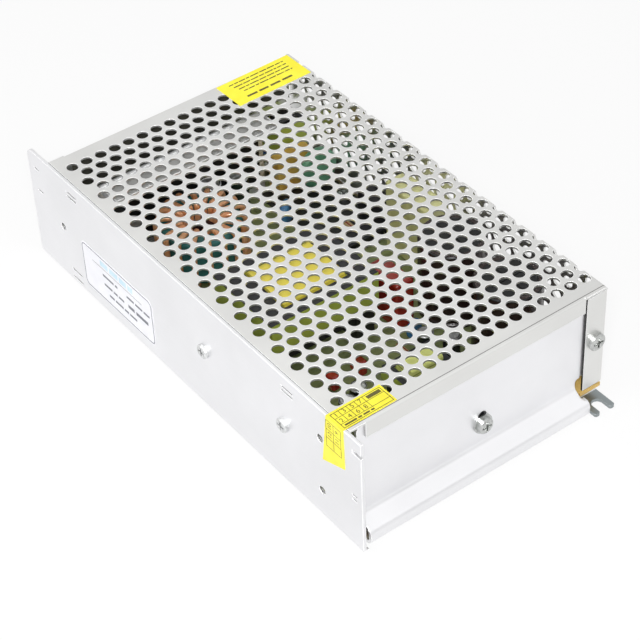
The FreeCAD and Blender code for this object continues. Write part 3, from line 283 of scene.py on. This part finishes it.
# Insulating film
# Milky polyester film that lies on the base under the board, with holes for the
# board's spacers. It keeps the board's pins off the metal.
def moulded(name, light, dark, rough, grit, depth=0.05 * mm, strength=0.2, **settings):
    """Plastic, lacquer or tape: two close tones in soft clouds and a fine grit in the surface."""
    # Real grit is mostly finer. It is drawn at the step given so that it shows.
    cloud_step = 6.25 * mm
    material, shader = surface(name, **settings)
    tree = material.node_tree
    where = add_node(material, "TexCoord")
    cloud = add_node(material, "TexNoise", {"Vector": where.outputs["Object"]},
                     {"Scale": 1 / cloud_step, "Detail": 3.0})
    fine = add_node(material, "TexNoise", {"Vector": where.outputs["Object"]},
                    {"Scale": 1 / grit, "Detail": 2.0})
    tone = add_node(material, "ValToRGB", {"Fac": cloud.outputs[0]})
    tone.color_ramp.elements[0].position = 0.35
    tone.color_ramp.elements[0].color = colour(dark)
    tone.color_ramp.elements[1].position = 0.65
    tone.color_ramp.elements[1].color = colour(light)
    roughness = add_node(material, "MapRange", {"Value": fine.outputs[0]},
                         {"To Min": rough - 0.06, "To Max": rough + 0.06})
    bump = add_node(material, "Bump", {"Height": fine.outputs[0]}, {"Strength": strength, "Distance": depth})
    tree.links.new(tone.outputs[0], shader.inputs["Base Color"])
    tree.links.new(roughness.outputs[0], shader.inputs["Roughness"])
    tree.links.new(bump.outputs[0], shader.inputs["Normal"])
    return material


give(moulded("milky polyester film", "#dcdcd4", "#cfcfc6", 0.35, 3.33 * mm), "insulating_film")


# Dark sheets of painted shade
# Thin cut sheets: a black piece lies on the board between the mains parts, and a
# brown one stands just inside the cover's far flange. Both darken places that lie
# in shade.
def cut_sheet(name, low, high, finish):
    """A thin cut sheet between two corners, with its edges slightly broken."""
    bpy.ops.object.select_all(action="DESELECT")
    bpy.ops.mesh.primitive_cube_add(size=1.0, location=[(a + b) / 2 for a, b in zip(low, high)],
                                    scale=[b - a for a, b in zip(low, high)])
    piece = bpy.context.object
    bpy.ops.object.transform_apply(location=True, rotation=True, scale=True)
    bpy.ops.object.mode_set(mode="EDIT")
    bpy.ops.mesh.select_all(action="SELECT")
    bpy.ops.mesh.bevel(offset=0.06 * mm, segments=1, affect="EDGES")
    bpy.ops.object.mode_set(mode="OBJECT")
    piece.name = name
    piece.data.materials.append(finish)
    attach(piece, "case")
    bpy.ops.object.select_all(action="DESELECT")


shade_sheet_thick = 0.3 * mm
cover_thick = 0.8 * mm
shade_sheet_gap = 0.05 * mm
# Painted shade: dark sheets put where the board and the far flange lie in shade.
black_shade_sheet = moulded("black painted shade sheet", "#1d1e1d", "#151615", 0.5, 0.833 * mm, 0.03 * mm)
brown_shade_sheet = moulded("brown painted shade sheet", "#45443b", "#37362f", 0.4, 0.833 * mm, 0.03 * mm)
low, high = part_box("circuit_board")
board_face = high[2]
cut_sheet("painted_shade_sheet_board", (high[0] - 30.6 * mm, high[1] - 71.5 * mm, board_face),
          (high[0] - 1.5 * mm, high[1] - 29.3 * mm, board_face + shade_sheet_thick), black_shade_sheet)
low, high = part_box("cover")
shade_sheet_far = high[1] - cover_thick - shade_sheet_gap
cut_sheet("painted_shade_sheet_flange", (low[0] + 8.95 * mm, shade_sheet_far - shade_sheet_thick, high[2] - 18.8 * mm),
          (high[0] - 3.2 * mm, shade_sheet_far, high[2] - 2.2 * mm), brown_shade_sheet)


# Transformers and filter choke
# Dark ferrite halves held by yellow polyester tape round their sides, on black
# moulded bobbins. The transformers' windings are under yellow tape, and the filter
# choke's under black.
def taped_ferrite(name, ferrite, tape):
    """Ground ferrite on its flat faces and tape on its upright sides."""
    pore_step = 0.667 * mm
    material, shader = surface(name)
    tree = material.node_tree
    where = add_node(material, "TexCoord")
    face = add_node(material, "SeparateXYZ", {0: add_node(material, "NewGeometry").outputs["Normal"]})
    steep = add_node(material, "Math", {0: face.outputs[2]}, operation="ABSOLUTE")
    side = add_node(material, "Math", {0: steep.outputs[0]}, {1: 0.5}, operation="LESS_THAN")
    pores = add_node(material, "TexNoise", {"Vector": where.outputs["Object"]},
                     {"Scale": 1 / pore_step, "Detail": 3.0})
    stone = add_node(material, "ValToRGB", {"Fac": pores.outputs[0]})
    stone.color_ramp.elements[0].color = [part * 0.6 for part in colour(ferrite)[:3]] + [1.0]
    stone.color_ramp.elements[1].color = colour(ferrite)
    mixed = add_node(material, "Mix", {0: side.outputs[0], 6: stone.outputs[0]}, {7: colour(tape)},
                     data_type="RGBA")
    rough = add_node(material, "MapRange", {"Value": side.outputs[0]}, {"To Min": 0.62, "To Max": 0.3})
    bump = add_node(material, "Bump", {"Height": pores.outputs[0]}, {"Strength": 0.2, "Distance": 0.05 * mm})
    tree.links.new(mixed.outputs[2], shader.inputs["Base Color"])
    tree.links.new(rough.outputs[0], shader.inputs["Roughness"])
    tree.links.new(bump.outputs[0], shader.inputs["Normal"])
    return material


# The wave texture repeats after this length at a scale of one.
wave_length = math.pi / 10


def wrapped_tape(name, light, seam, lap):
    """Tape wound in laps: glossy, with a darker line at each lap's edge and soft wrinkles."""
    wrinkle_step = 2.38 * mm
    material, shader = surface(name, Roughness=0.28)
    tree = material.node_tree
    where = add_node(material, "TexCoord")
    laps = add_node(material, "TexWave", {"Vector": where.outputs["Object"]},
                    {"Scale": wave_length / lap, "Distortion": 0.6, "Detail": 1.0}, bands_direction="Z")
    tone = add_node(material, "ValToRGB", {"Fac": laps.outputs[1]})
    tone.color_ramp.elements[0].position = 0.02
    tone.color_ramp.elements[0].color = colour(seam)
    tone.color_ramp.elements[1].position = 0.14
    tone.color_ramp.elements[1].color = colour(light)
    wrinkle = add_node(material, "TexNoise", {"Vector": where.outputs["Object"]},
                       {"Scale": 1 / wrinkle_step, "Detail": 2.0})
    bump = add_node(material, "Bump", {"Height": wrinkle.outputs[0]},
                    {"Strength": 0.35, "Distance": 0.1 * mm})
    tree.links.new(tone.outputs[0], shader.inputs["Base Color"])
    tree.links.new(bump.outputs[0], shader.inputs["Normal"])
    return material


give(taped_ferrite("ground ferrite with tape", "#3d3e42", "#bccc58"), "main_transformer_core",
     "driver_transformer_core", "filter_choke_core")
give(wrapped_tape("yellow polyester tape", "#ffee62", "#dcc840", 4.0 * mm), "main_transformer_winding")
give(wrapped_tape("yellow-green polyester tape", "#f4fb96", "#a9b452", 3.0 * mm),
     "driver_transformer_winding")
give(moulded("black moulded nylon", "#2a2a2b", "#1c1c1d", 0.45, 1.11 * mm), "main_transformer_bobbin",
     "driver_transformer_bobbin", "filter_choke_bobbin")
give(wrapped_tape("black cloth tape", "#2b2927", "#141312", 3.0 * mm), "filter_choke_winding")


# Output choke
# A teal lacquered powder core under eighteen turns of thick enamelled copper. A
# dark plug in its middle, round-edged and hollow at the top, holds it to the board.
# Its dark red-brown is painted shadow, the shaded inside of the ring.
give(moulded("teal core lacquer", "#3f8583", "#2c6461", 0.35, 1.67 * mm), "output_choke_core")
shade_step = 4.17 * mm
copper, copper_shader = surface("enamelled copper wire", Metallic=0.1, Coat_Weight=0.6, Coat_Roughness=0.15)
where = add_node(copper, "TexCoord")
shade = add_node(copper, "TexNoise", {"Vector": where.outputs["Object"]},
                 {"Scale": 1 / shade_step, "Detail": 3.0})
tone = add_node(copper, "ValToRGB", {"Fac": shade.outputs[0]})
tone.color_ramp.elements[0].position = 0.3
tone.color_ramp.elements[0].color = colour("#ee9f68")
tone.color_ramp.elements[1].position = 0.7
tone.color_ramp.elements[1].color = colour("#ffc99a")
roughness = add_node(copper, "MapRange", {"Value": shade.outputs[0]}, {"To Min": 0.2, "To Max": 0.34})
copper.node_tree.links.new(tone.outputs[0], copper_shader.inputs["Base Color"])
copper.node_tree.links.new(roughness.outputs[0], copper_shader.inputs["Roughness"])
give(copper, "output_choke_winding")
plug_radius = 5.6 * mm
plug_tall = 16.5 * mm
plug_round = 0.7 * mm
plug_rim = 2.6 * mm
plug_hollow = 4.0 * mm
low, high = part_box("output_choke_core")
bpy.ops.object.select_all(action="DESELECT")
bpy.ops.mesh.primitive_cylinder_add(
    vertices=64, radius=plug_radius, depth=plug_tall,
    location=((low[0] + high[0]) / 2, (low[1] + high[1]) / 2, board_face + plug_tall / 2))
plug = bpy.context.object
bpy.ops.object.transform_apply(location=True, rotation=True, scale=True)
near_top = board_face + plug_tall - 0.1 * mm
for face in plug.data.polygons:
    face.select = face.normal.z > 0.9
for edge in plug.data.edges:
    edge.select = all(plug.data.vertices[index].co.z > near_top for index in edge.vertices)
for vertex in plug.data.vertices:
    vertex.select = vertex.co.z > near_top
bpy.ops.object.mode_set(mode="EDIT")
bpy.ops.mesh.bevel(offset=plug_round, segments=3, affect="EDGES")
bpy.ops.mesh.select_all(action="DESELECT")
bpy.ops.object.mode_set(mode="OBJECT")
for face in plug.data.polygons:
    face.select = face.normal.z > 0.99
bpy.ops.object.mode_set(mode="EDIT")
bpy.ops.mesh.inset(thickness=plug_rim)
bpy.ops.mesh.extrude_region_move(TRANSFORM_OT_translate={"value": (0.0, 0.0, -plug_hollow)})
bpy.ops.object.mode_set(mode="OBJECT")
plug.name = "choke_mount"
# Painted shadow: the plug is coloured as the shaded inside of the copper ring.
plug.data.materials.append(moulded("dark red plug with painted shadow", "#2e1216", "#210c10", 0.5, 2.0 * mm))
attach(plug, "case")
bpy.ops.object.select_all(action="DESELECT")


# Electrolytic capacitors
# Aluminium cans in a shrink sleeve. The sleeve stops at the rim, so the scored
# top shows as bare metal: dark grey on the bulk ones, bright on the rest.
def sleeved(name, sleeve, sheen, metal, disc):
    """Shrink sleeve, with bare metal on the sunk disc between the two heights of disc."""
    mark_step = 2.0 * mm
    material, shader = surface(name)
    tree = material.node_tree
    where = add_node(material, "TexCoord")
    split = add_node(material, "SeparateXYZ", {0: where.outputs["Object"]})
    above = add_node(material, "Math", {0: split.outputs[2]}, {1: disc[0]}, operation="GREATER_THAN")
    below = add_node(material, "Math", {0: split.outputs[2]}, {1: disc[1]}, operation="LESS_THAN")
    bare = add_node(material, "Math", {0: above.outputs[0], 1: below.outputs[0]}, operation="MULTIPLY")
    marks = add_node(material, "TexNoise", {"Vector": where.outputs["Object"]},
                     {"Scale": 1 / mark_step, "Detail": 4.0})
    skin = add_node(material, "ValToRGB", {"Fac": marks.outputs[0]})
    skin.color_ramp.elements[0].color = colour(sleeve)
    skin.color_ramp.elements[1].color = colour(sheen)
    mixed = add_node(material, "Mix", {0: bare.outputs[0], 6: skin.outputs[0]}, {7: colour(metal)},
                     data_type="RGBA")
    metallic = add_node(material, "Math", {0: bare.outputs[0]}, {1: 0.85}, operation="MULTIPLY")
    rough = add_node(material, "MapRange", {"Value": bare.outputs[0]}, {"To Min": 0.26, "To Max": 0.42})
    tree.links.new(mixed.outputs[2], shader.inputs["Base Color"])
    tree.links.new(metallic.outputs[0], shader.inputs["Metallic"])
    tree.links.new(rough.outputs[0], shader.inputs["Roughness"])
    return material


for cans, sleeve, sheen, metal in (("bulk_capacitors", "#2a1f1d", "#382a27", "#3b3c3d"),
                                   ("output_capacitors", "#1b2a24", "#24352e", "#e2e3e4"),
                                   ("small_capacitors", "#1c1c1f", "#2b2b2f", "#c9cacb")):
    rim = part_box(cans)[1][2]
    disc = (rim - 0.8 * mm, rim - 0.15 * mm)
    give(sleeved(cans.replace("_", " ") + " sleeve", sleeve, sheen, metal, disc), cans)


# Film and disc capacitors and thermistor
# The discs and drops are dipped in lacquer, and the film ones moulded or taped, so
# all are glossy with soft edges. They stand on the board on their own wires.
for node, finish, light, dark, rough in (
        ("red_capacitors", "red dipped lacquer", "#b8392c", "#8f2018", 0.22),
        ("yellow_capacitor", "yellow film box", "#e6e6a6", "#d6d592", 0.35),
        ("amber_capacitor", "amber taped film", "#f5cf6c", "#dfae4a", 0.30),
        ("blue_capacitors", "blue dipped lacquer", "#4f8fc4", "#3a78ad", 0.25),
        ("thermistor", "green dipped lacquer", "#78b692", "#5d9c7a", 0.3)):
    give(moulded(finish, light, dark, rough, 2.86 * mm, 0.12 * mm, 0.35, Coat_Weight=0.4,
                 Coat_Roughness=0.12), node)


# Resistors
# Small rods lying on the board, dipped in tan lacquer, with dark red rings printed
# across them at an even step.
ring_step = 1.96 * mm
resistor, resistor_shader = surface("tan resistor lacquer", Roughness=0.35)
where = add_node(resistor, "TexCoord")
bands = add_node(resistor, "TexWave", {"Vector": where.outputs["Object"]},
                 {"Scale": wave_length / ring_step}, bands_direction="X")
tone = add_node(resistor, "ValToRGB", {"Fac": bands.outputs[1]})
tone.color_ramp.interpolation = "CONSTANT"
tone.color_ramp.elements[0].color = colour("#8a2f22")
tone.color_ramp.elements[1].position = 0.16
tone.color_ramp.elements[1].color = colour("#cfb284")
resistor.node_tree.links.new(tone.outputs[0], resistor_shader.inputs["Base Color"])
give(resistor, "resistors")


# Heatsink
# An extruded aluminium angle, brighter and smoother than the case. A grey strip
# along its top leg and a black sheet on its web are painted shade.
extruded = rolled_sheet("extruded aluminium", "#f8f9fa", 0.25, (0.05, 1.0, 1.0))
extruded.node_tree.nodes["Principled BSDF"].inputs["Metallic"].default_value = 0.5
give(extruded, "heatsink")
web_thick = 2.5 * mm
shade_strip_margin = 0.6 * mm
shade_strip_wide = 8.0 * mm
shade_strip_thick = 0.2 * mm
shade_sheet_margin = 2.0 * mm
low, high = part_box("heatsink")
# Painted shade: a grey strip on the near part of the top leg, and a black sheet on the web.
cut_sheet("heatsink_painted_shade_strip", (low[0] + shade_strip_margin, low[1] + shade_strip_margin, high[2]),
          (high[0] - shade_strip_margin, low[1] + shade_strip_margin + shade_strip_wide, high[2] + shade_strip_thick),
          moulded("grey painted shade strip", "#a3a3a1", "#8b8b89", 0.35, 3.33 * mm, 0.1 * mm))
web_face = high[1] - web_thick
cut_sheet("heatsink_painted_shade_sheet", (low[0] + shade_sheet_margin, web_face - shade_sheet_thick, low[2] + 3.9 * mm),
          (high[0] - shade_sheet_margin, web_face, high[2] - 9.5 * mm), black_shade_sheet)


# Fuse
# A clear glass tube between two plated end caps, pressed into sprung clips. The
# glass lets what is behind it through, and the caps are solid bright metal.
cap_long = 4.8 * mm
fuse, fuse_shader = surface("fuse glass and plated caps")
where = add_node(fuse, "TexCoord")
split = add_node(fuse, "SeparateXYZ", {0: where.outputs["Object"]})
low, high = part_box("fuse")
middle = (low[0] + high[0]) / 2
glass_half = (high[0] - low[0]) / 2 - cap_long
offset = add_node(fuse, "Math", {0: split.outputs[0]}, {1: middle}, operation="SUBTRACT")
distance = add_node(fuse, "Math", {0: offset.outputs[0]}, operation="ABSOLUTE")
capped = add_node(fuse, "Math", {0: distance.outputs[0]}, {1: glass_half}, operation="GREATER_THAN")
skin = add_node(fuse, "Mix", {0: capped.outputs[0]}, {6: colour("#dfe6e4"), 7: colour("#cfcfcb")},
                data_type="RGBA")
rough = add_node(fuse, "MapRange", {"Value": capped.outputs[0]}, {"To Min": 0.05, "To Max": 0.3})
clear = add_node(fuse, "Math", {0: capped.outputs[0]}, {1: 0.35}, operation="MAXIMUM")
fuse.node_tree.links.new(skin.outputs[2], fuse_shader.inputs["Base Color"])
fuse.node_tree.links.new(capped.outputs[0], fuse_shader.inputs["Metallic"])
fuse.node_tree.links.new(rough.outputs[0], fuse_shader.inputs["Roughness"])
fuse.node_tree.links.new(clear.outputs[0], fuse_shader.inputs["Alpha"])
give(fuse, "fuse")


# Control chip, power devices and rectifier
# Black moulding compound, matt and finely pitted. The power devices and the
# rectifier stand on tinned leads, so below the body's height they turn to bare tin.
def on_leads(name, height):
    """Black moulding compound above a height, tinned copper below it."""
    material = moulded(name, "#26262a", "#1a1a1d", 0.55, 0.714 * mm, 0.03 * mm)
    shader = material.node_tree.nodes["Principled BSDF"]
    where = add_node(material, "TexCoord")
    place = add_node(material, "SeparateXYZ", {0: where.outputs["Object"]})
    below = add_node(material, "Math", {0: place.outputs[2]}, {1: height}, operation="LESS_THAN")
    plain = shader.inputs["Base Color"].links[0].from_socket
    tone = add_node(material, "Mix", {0: below.outputs[0], 6: plain}, {7: colour("#c8cacb")},
                    data_type="RGBA")
    material.node_tree.links.new(tone.outputs[2], shader.inputs["Base Color"])
    material.node_tree.links.new(below.outputs[0], shader.inputs["Metallic"])
    return material


device_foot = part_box("insulating_pads")[0][2] + 1.5 * mm
rectifier_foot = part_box("bridge_rectifier")[0][2] + 3.2 * mm
give(moulded("black moulding compound", "#26262a", "#1a1a1d", 0.55, 0.714 * mm, 0.03 * mm), "control_chip",
     "selector_body")
give(on_leads("power device body and leads", device_foot), "power_transistors", "rectifier_diodes")
give(on_leads("rectifier body and leads", rectifier_foot), "bridge_rectifier")
give(moulded("grey silicone pad", "#a9abad", "#9c9ea0", 0.7, 2.0 * mm), "insulating_pads")


# Trimmer, indicator lamp and selector knob
# A blue nylon body with a white slotted rotor, a green tinted lamp, and a white
# knob for the voltage selector.
give(moulded("blue moulded nylon", "#3a67b0", "#2f5798", 0.4, 1.11 * mm), "trimmer_body")
give(moulded("white acetal", "#ecebe6", "#e0dfd9", 0.4, 1.11 * mm), "trimmer_rotor", "selector_slider")
haze_step = 3.33 * mm
lens, lens_shader = surface("green tinted lens", Base_Color=colour("#57b864"), Transmission_Weight=0.5,
                            IOR=1.5)
where = add_node(lens, "TexCoord")
haze = add_node(lens, "TexNoise", {"Vector": where.outputs["Object"]}, {"Scale": 1 / haze_step})
roughness = add_node(lens, "MapRange", {"Value": haze.outputs[0]}, {"To Min": 0.08, "To Max": 0.25})
lens.node_tree.links.new(roughness.outputs[0], lens_shader.inputs["Roughness"])
give(lens, "indicator_lamp")


# Terminal block and its flap
# A block moulded in black phenolic, with a wall between its ways. The flap that
# swings over it is moulded in clear polycarbonate and is faintly scuffed.
give(moulded("black phenolic moulding", "#242425", "#19191a", 0.38, 1.43 * mm), "terminal_block")
scuff_step = 5.0 * mm
clear_flap, flap_shader = surface("clear polycarbonate", Base_Color=colour("#eff4f5"), IOR=1.58,
                                  Transmission_Weight=1.0)
where = add_node(clear_flap, "TexCoord")
scuffs = add_node(clear_flap, "TexNoise", {"Vector": where.outputs["Object"]},
                  {"Scale": 1 / scuff_step, "Detail": 5.0})
roughness = add_node(clear_flap, "MapRange", {"Value": scuffs.outputs[0]}, {"To Min": 0.03, "To Max": 0.12})
clear_flap.node_tree.links.new(roughness.outputs[0], flap_shader.inputs["Roughness"])
give(clear_flap, "terminal_flap")


# Stickers
# Bright yellow coated paper on the top and over the seam, and a silver-white film
# label on the left wall. They are cut sheets, pressed flat onto the metal.
give(moulded("bright yellow coated paper", "#fdf442", "#f7ea36", 0.5, 1.25 * mm, 0.03 * mm), "top_sticker")
give(moulded("yellow seal paper", "#e9df3d", "#dfd335", 0.5, 1.25 * mm, 0.03 * mm), "seal_sticker")
give(moulded("silver-white label film", "#e0e0e4", "#dbdbe0", 0.4, 1.25 * mm, 0.03 * mm), "rating_label")


# Print on the stickers
# Ink laid on in thin bars, rules and plain numbers, spaced as print is on such
# stickers. It stands 0.02 mm proud, so that it is a shape too.
ink_height = 0.02 * mm


def ink_bar(centre, size):
    """One flat bar of ink, lying face up."""
    bpy.ops.mesh.primitive_cube_add(size=1.0, location=(centre[0], centre[1], 0.0),
                                    scale=(size[0], size[1], 2 * ink_height))
    return bpy.context.object


def ink_number(words, centre, size, turn=0.0):
    """A plain number in ink, lying face up, read along its turn."""
    bpy.ops.object.text_add(location=(centre[0], centre[1], 0.0), rotation=(0.0, 0.0, turn))
    number = bpy.context.object
    number.data.body = words
    number.data.size = size
    number.data.align_x = "CENTER"
    number.data.align_y = "CENTER"
    number.data.extrude = ink_height
    bpy.ops.object.convert(target="MESH")
    return number


def ink_frame(centre, size, corner, line):
    """A ruled frame with round corners: a plane, rounded, inset and opened."""
    bpy.ops.mesh.primitive_plane_add(size=1.0, location=(centre[0], centre[1], 0.0))
    outline = bpy.context.object
    outline.scale = (size[0], size[1], 1.0)
    bpy.ops.object.transform_apply(location=False, rotation=False, scale=True)
    bpy.ops.object.mode_set(mode="EDIT")
    bpy.ops.mesh.select_all(action="SELECT")
    if corner:
        bpy.ops.mesh.bevel(offset=corner, segments=6, affect="VERTICES")
    bpy.ops.mesh.inset(thickness=line)
    bpy.ops.mesh.delete(type="FACE")
    bpy.ops.mesh.select_all(action="SELECT")
    bpy.ops.mesh.extrude_region_move(TRANSFORM_OT_translate={"value": (0.0, 0.0, ink_height)})
    bpy.ops.object.mode_set(mode="OBJECT")
    return outline


def printed(name, marks, finish, lay):
    """Join the marks into one piece, lay it on its sticker and let it ride with the case."""
    bpy.ops.object.select_all(action="DESELECT")
    for mark in marks:
        mark.select_set(True)
    bpy.context.view_layer.objects.active = marks[0]
    bpy.ops.object.join()
    piece = bpy.context.object
    bpy.ops.object.transform_apply(location=True, rotation=True, scale=True)
    piece.data.transform(lay)
    piece.name = name
    piece.data.materials.clear()
    piece.data.materials.append(finish)
    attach(piece, "case")
    bpy.ops.object.select_all(action="DESELECT")


def words_in_line(start, end, along, tall, seed):
    """Bars of uneven lengths with small gaps, as a line of small print seen from afar."""
    bars = []
    place = start
    step = seed
    while place < end - tall:
        step = (step * 7 + 3) % 11
        long = min((2.2 + 0.5 * step) * tall, end - place)
        bars.append(ink_bar((place + long / 2, along), (long, tall)))
        place += long + 0.8 * tall
    return bars


bpy.ops.object.select_all(action="DESELECT")
row_step = 2.0 * mm
small_print = 0.55 * mm
low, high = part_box("top_sticker")
on_top = (Matrix.Translation(((low[0] + high[0]) / 2, (low[1] + high[1]) / 2, high[2]))
          @ Matrix.Rotation(math.radians(1.0), 4, "Z"))
marks = []
for row in range(4):
    marks += words_in_line((-12.5 + 0.9 * row) * mm, 13.0 * mm, 5.2 * mm - row * row_step, small_print, row)
for start, end in ((-11.0, -6.4), (-5.4, -1.2), (-0.2, 4.4), (5.4, 10.0)):
    marks.append(ink_bar(((start + end) / 2 * mm, -4.6 * mm), ((end - start) * mm, 1.0 * mm)))
brown_ink = moulded("brown printing ink", "#5a5220", "#4a431a", 0.5, 1.11 * mm, 0.02 * mm)
printed("top_sticker_print", marks, brown_ink, on_top)

low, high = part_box("seal_sticker")
seal_middle = (low[0] + 10.8 * mm, low[1] + 4.75 * mm)
on_seal = (Matrix.Translation((seal_middle[0], seal_middle[1], high[2]))
           @ Matrix.Rotation(math.radians(1.1), 4, "Z"))
rule = 0.2 * mm
digit = 2.6 * mm
marks = [ink_frame((0.2 * mm, 0.0), (20.0 * mm, 7.6 * mm), 0.0, 0.24 * mm)]
for along in (1.2, -1.8):
    marks.append(ink_bar((0.2 * mm, along * mm), (20.0 * mm, rule)))
for across in (-6.6, -3.4, -0.2, 3.0):
    marks.append(ink_bar((across * mm, 1.0 * mm), (rule, 5.6 * mm)))
marks.append(ink_bar((6.8 * mm, 2.4 * mm), (5.4 * mm, 1.5 * mm)))
for index in range(8):
    middle = ((-8.2 + 3.2 * (index // 2)) * mm, (2.5 - 3.0 * (index % 2)) * mm)
    marks.append(ink_number(str(index + 1), middle, digit))
marks += words_in_line(-8.8 * mm, 3.0 * mm, -2.8 * mm, 0.7 * mm, 4)
printed("seal_print_top", marks, brown_ink, on_seal)

on_wall = Matrix(((0.0, 0.0, -1.0, low[0]), (-1.0, 0.0, 0.0, low[1]), (0.0, 1.0, 0.0, 0.0),
                  (0.0, 0.0, 0.0, 1.0)))
marks = []
for level in (48.4, 44.6, 40.8, 37.0):
    marks.append(ink_bar((-5.4 * mm, level * mm), (7.6 * mm, rule)))
for across in (1.6, 5.4, 9.2):
    marks.append(ink_bar((-across * mm, 42.6 * mm), (rule, 11.6 * mm)))
for index in range(4):
    middle = (-(3.5 + 3.8 * (index % 2)) * mm, (46.5 - 3.8 * (index // 2)) * mm)
    marks.append(ink_number(str(index + 9), middle, digit, math.radians(90)))
printed("seal_print_side", marks, brown_ink, on_wall)

low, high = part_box("rating_label")
label_size = (high[1] - low[1], high[2] - low[2])
on_label = Matrix(((0.0, 0.0, -1.0, low[0]), (-1.0, 0.0, 0.0, high[1]), (0.0, 1.0, 0.0, low[2]),
                   (0.0, 0.0, 0.0, 1.0)))
frame_size = (label_size[0] - 0.7 * mm, label_size[1] - 0.7 * mm)
marks = [ink_frame((label_size[0] / 2, label_size[1] / 2), frame_size, 2.2 * mm, 0.4 * mm)]
marks.append(ink_bar((0.5 * label_size[0], 0.74 * label_size[1]), (0.70 * label_size[0], 0.22 * mm)))
for start, end, level, tall, seed in ((0.29, 0.50, 0.60, 1.0, 1), (0.63, 0.95, 0.60, 1.0, 5),
                                      (0.30, 0.58, 0.40, 1.0, 2), (0.64, 0.92, 0.40, 1.5, 6),
                                      (0.36, 0.75, 0.22, 1.0, 3)):
    marks += words_in_line(start * label_size[0], end * label_size[0], level * label_size[1], tall * mm,
                           seed)
grey_ink = moulded("grey printing ink", "#75777f", "#686a72", 0.5, 1.11 * mm, 0.02 * mm)
printed("rating_label_print", marks, grey_ink, on_label)
marks = []
for start, end in ((0.27, 0.38), (0.40, 0.52), (0.54, 0.64), (0.66, 0.73)):
    marks.append(ink_bar(((start + end) / 2 * label_size[0], 0.85 * label_size[1]),
                         ((end - start) * label_size[0], 2.4 * mm)))
pale_blue_ink = moulded("pale blue printing ink", "#c2d8e2", "#b4cedb", 0.5, 1.11 * mm, 0.02 * mm)
printed("rating_label_band", marks, pale_blue_ink, on_label)


# Terminal numbers
# Plain white numbers, one to nine, printed on the outer face of the block below
# the ways, and read from the terminal end.
ways = 9
cheek = 0.75 * mm
low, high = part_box("terminal_block")
pitch = (high[0] - low[0] - 2 * cheek) / ways
on_block = Matrix(((-1.0, 0.0, 0.0, high[0]), (0.0, 0.0, 1.0, high[1]), (0.0, 1.0, 0.0, low[2]),
                   (0.0, 0.0, 0.0, 1.0)))
marks = [ink_number(str(way + 1), (cheek + pitch * (way + 0.5), 4.5 * mm), 3.2 * mm) for way in range(ways)]
white_ink = moulded("white printing ink", "#e6e6e2", "#dcdcd8", 0.5, 1.11 * mm, 0.02 * mm)
printed("terminal_numbers", marks, white_ink, on_block)


# Studio
# A plain white floor and soft light. The floor and the world look white to the
# camera and in reflections, and light the case at a plain level. The camera is
# fitted to the rows of holes in the photo.
def seen_directly(material):
    """One for rays from the camera, from a reflection or through glass, else nought."""
    path = add_node(material, "LightPath")
    seen = add_node(material, "Math", {0: path.outputs["Is Camera Ray"], 1: path.outputs["Is Glossy Ray"]},
                    operation="MAXIMUM")
    return add_node(material, "Math", {0: seen.outputs[0], 1: path.outputs["Is Transmission Ray"]},
                    operation="MAXIMUM")


floor_glow = 0.85
floor_material, floor_shader = surface("white studio floor", Base_Color=colour("#e6e6e6"), Roughness=0.9)
seen = seen_directly(floor_material)
amount = add_node(floor_material, "Math", {0: seen.outputs[0]}, {1: floor_glow}, operation="MULTIPLY")
white = add_node(floor_material, "Emission", values={"Color": (1.0, 1.0, 1.0, 1.0), "Strength": 1.0})
blend = add_node(floor_material, "MixShader", {0: amount.outputs[0], 1: floor_shader.outputs[0],
                                               2: white.outputs[0]})
floor_output = floor_material.node_tree.nodes["Material Output"]
floor_material.node_tree.links.new(blend.outputs[0], floor_output.inputs[0])
bpy.ops.object.select_all(action="DESELECT")
bpy.ops.mesh.primitive_plane_add(size=6.0, location=(0, 0, -0.2 * mm))
floor = bpy.context.object
floor.name = "floor"
floor.data.materials.append(floor_material)
floor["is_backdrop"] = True

world = bpy.data.worlds.new("white studio")
scene.world = world
world.use_nodes = True
background = world.node_tree.nodes["Background"]
seen = seen_directly(world)
strength = add_node(world, "MapRange", {"Value": seen.outputs[0]}, {"To Min": 0.42, "To Max": 0.82})
background.inputs["Color"].default_value = (1.0, 1.0, 1.0, 1.0)
world.node_tree.links.new(strength.outputs[0], background.inputs["Strength"])

aim = Vector((0, 0, 0.02))
for name, place, size, power in (("overhead lamp", (-0.1, 0.25, 0.9), 0.8, 1.6),
                                 ("left lamp", (-0.9, 0.1, 0.45), 0.7, 3.6),
                                 ("near lamp", (0.55, -0.85, 0.8), 0.6, 0.45),
                                 ("camera side lamp", (-0.345, -0.475, 0.545), 0.13, 4.5)):
    lamp = bpy.data.lights.new(name, "AREA")
    lamp.size = size
    lamp.energy = power
    holder = bpy.data.objects.new(name, lamp)
    holder.location = place
    holder.rotation_mode = "QUATERNION"
    holder.rotation_quaternion = (aim - Vector(place)).to_track_quat("-Z", "Y")
    scene.collection.objects.link(holder)

camera = bpy.data.cameras.new("camera")
camera.sensor_width = 36.0
camera.lens = 116.522
camera.clip_start = 0.01
camera.clip_end = 20.0
viewer = bpy.data.objects.new("camera", camera)
tilt, roll, swing = (math.radians(angle) for angle in (48.4832, 2.0995, -37.0351))
viewer.matrix_world = (Matrix.Translation((-0.322059, -0.461241, 0.500297))
                       @ Euler((tilt, roll, swing)).to_matrix().to_4x4())
scene.collection.objects.link(viewer)
scene.camera = viewer
scene.view_settings.view_transform = "Standard"

low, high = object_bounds()
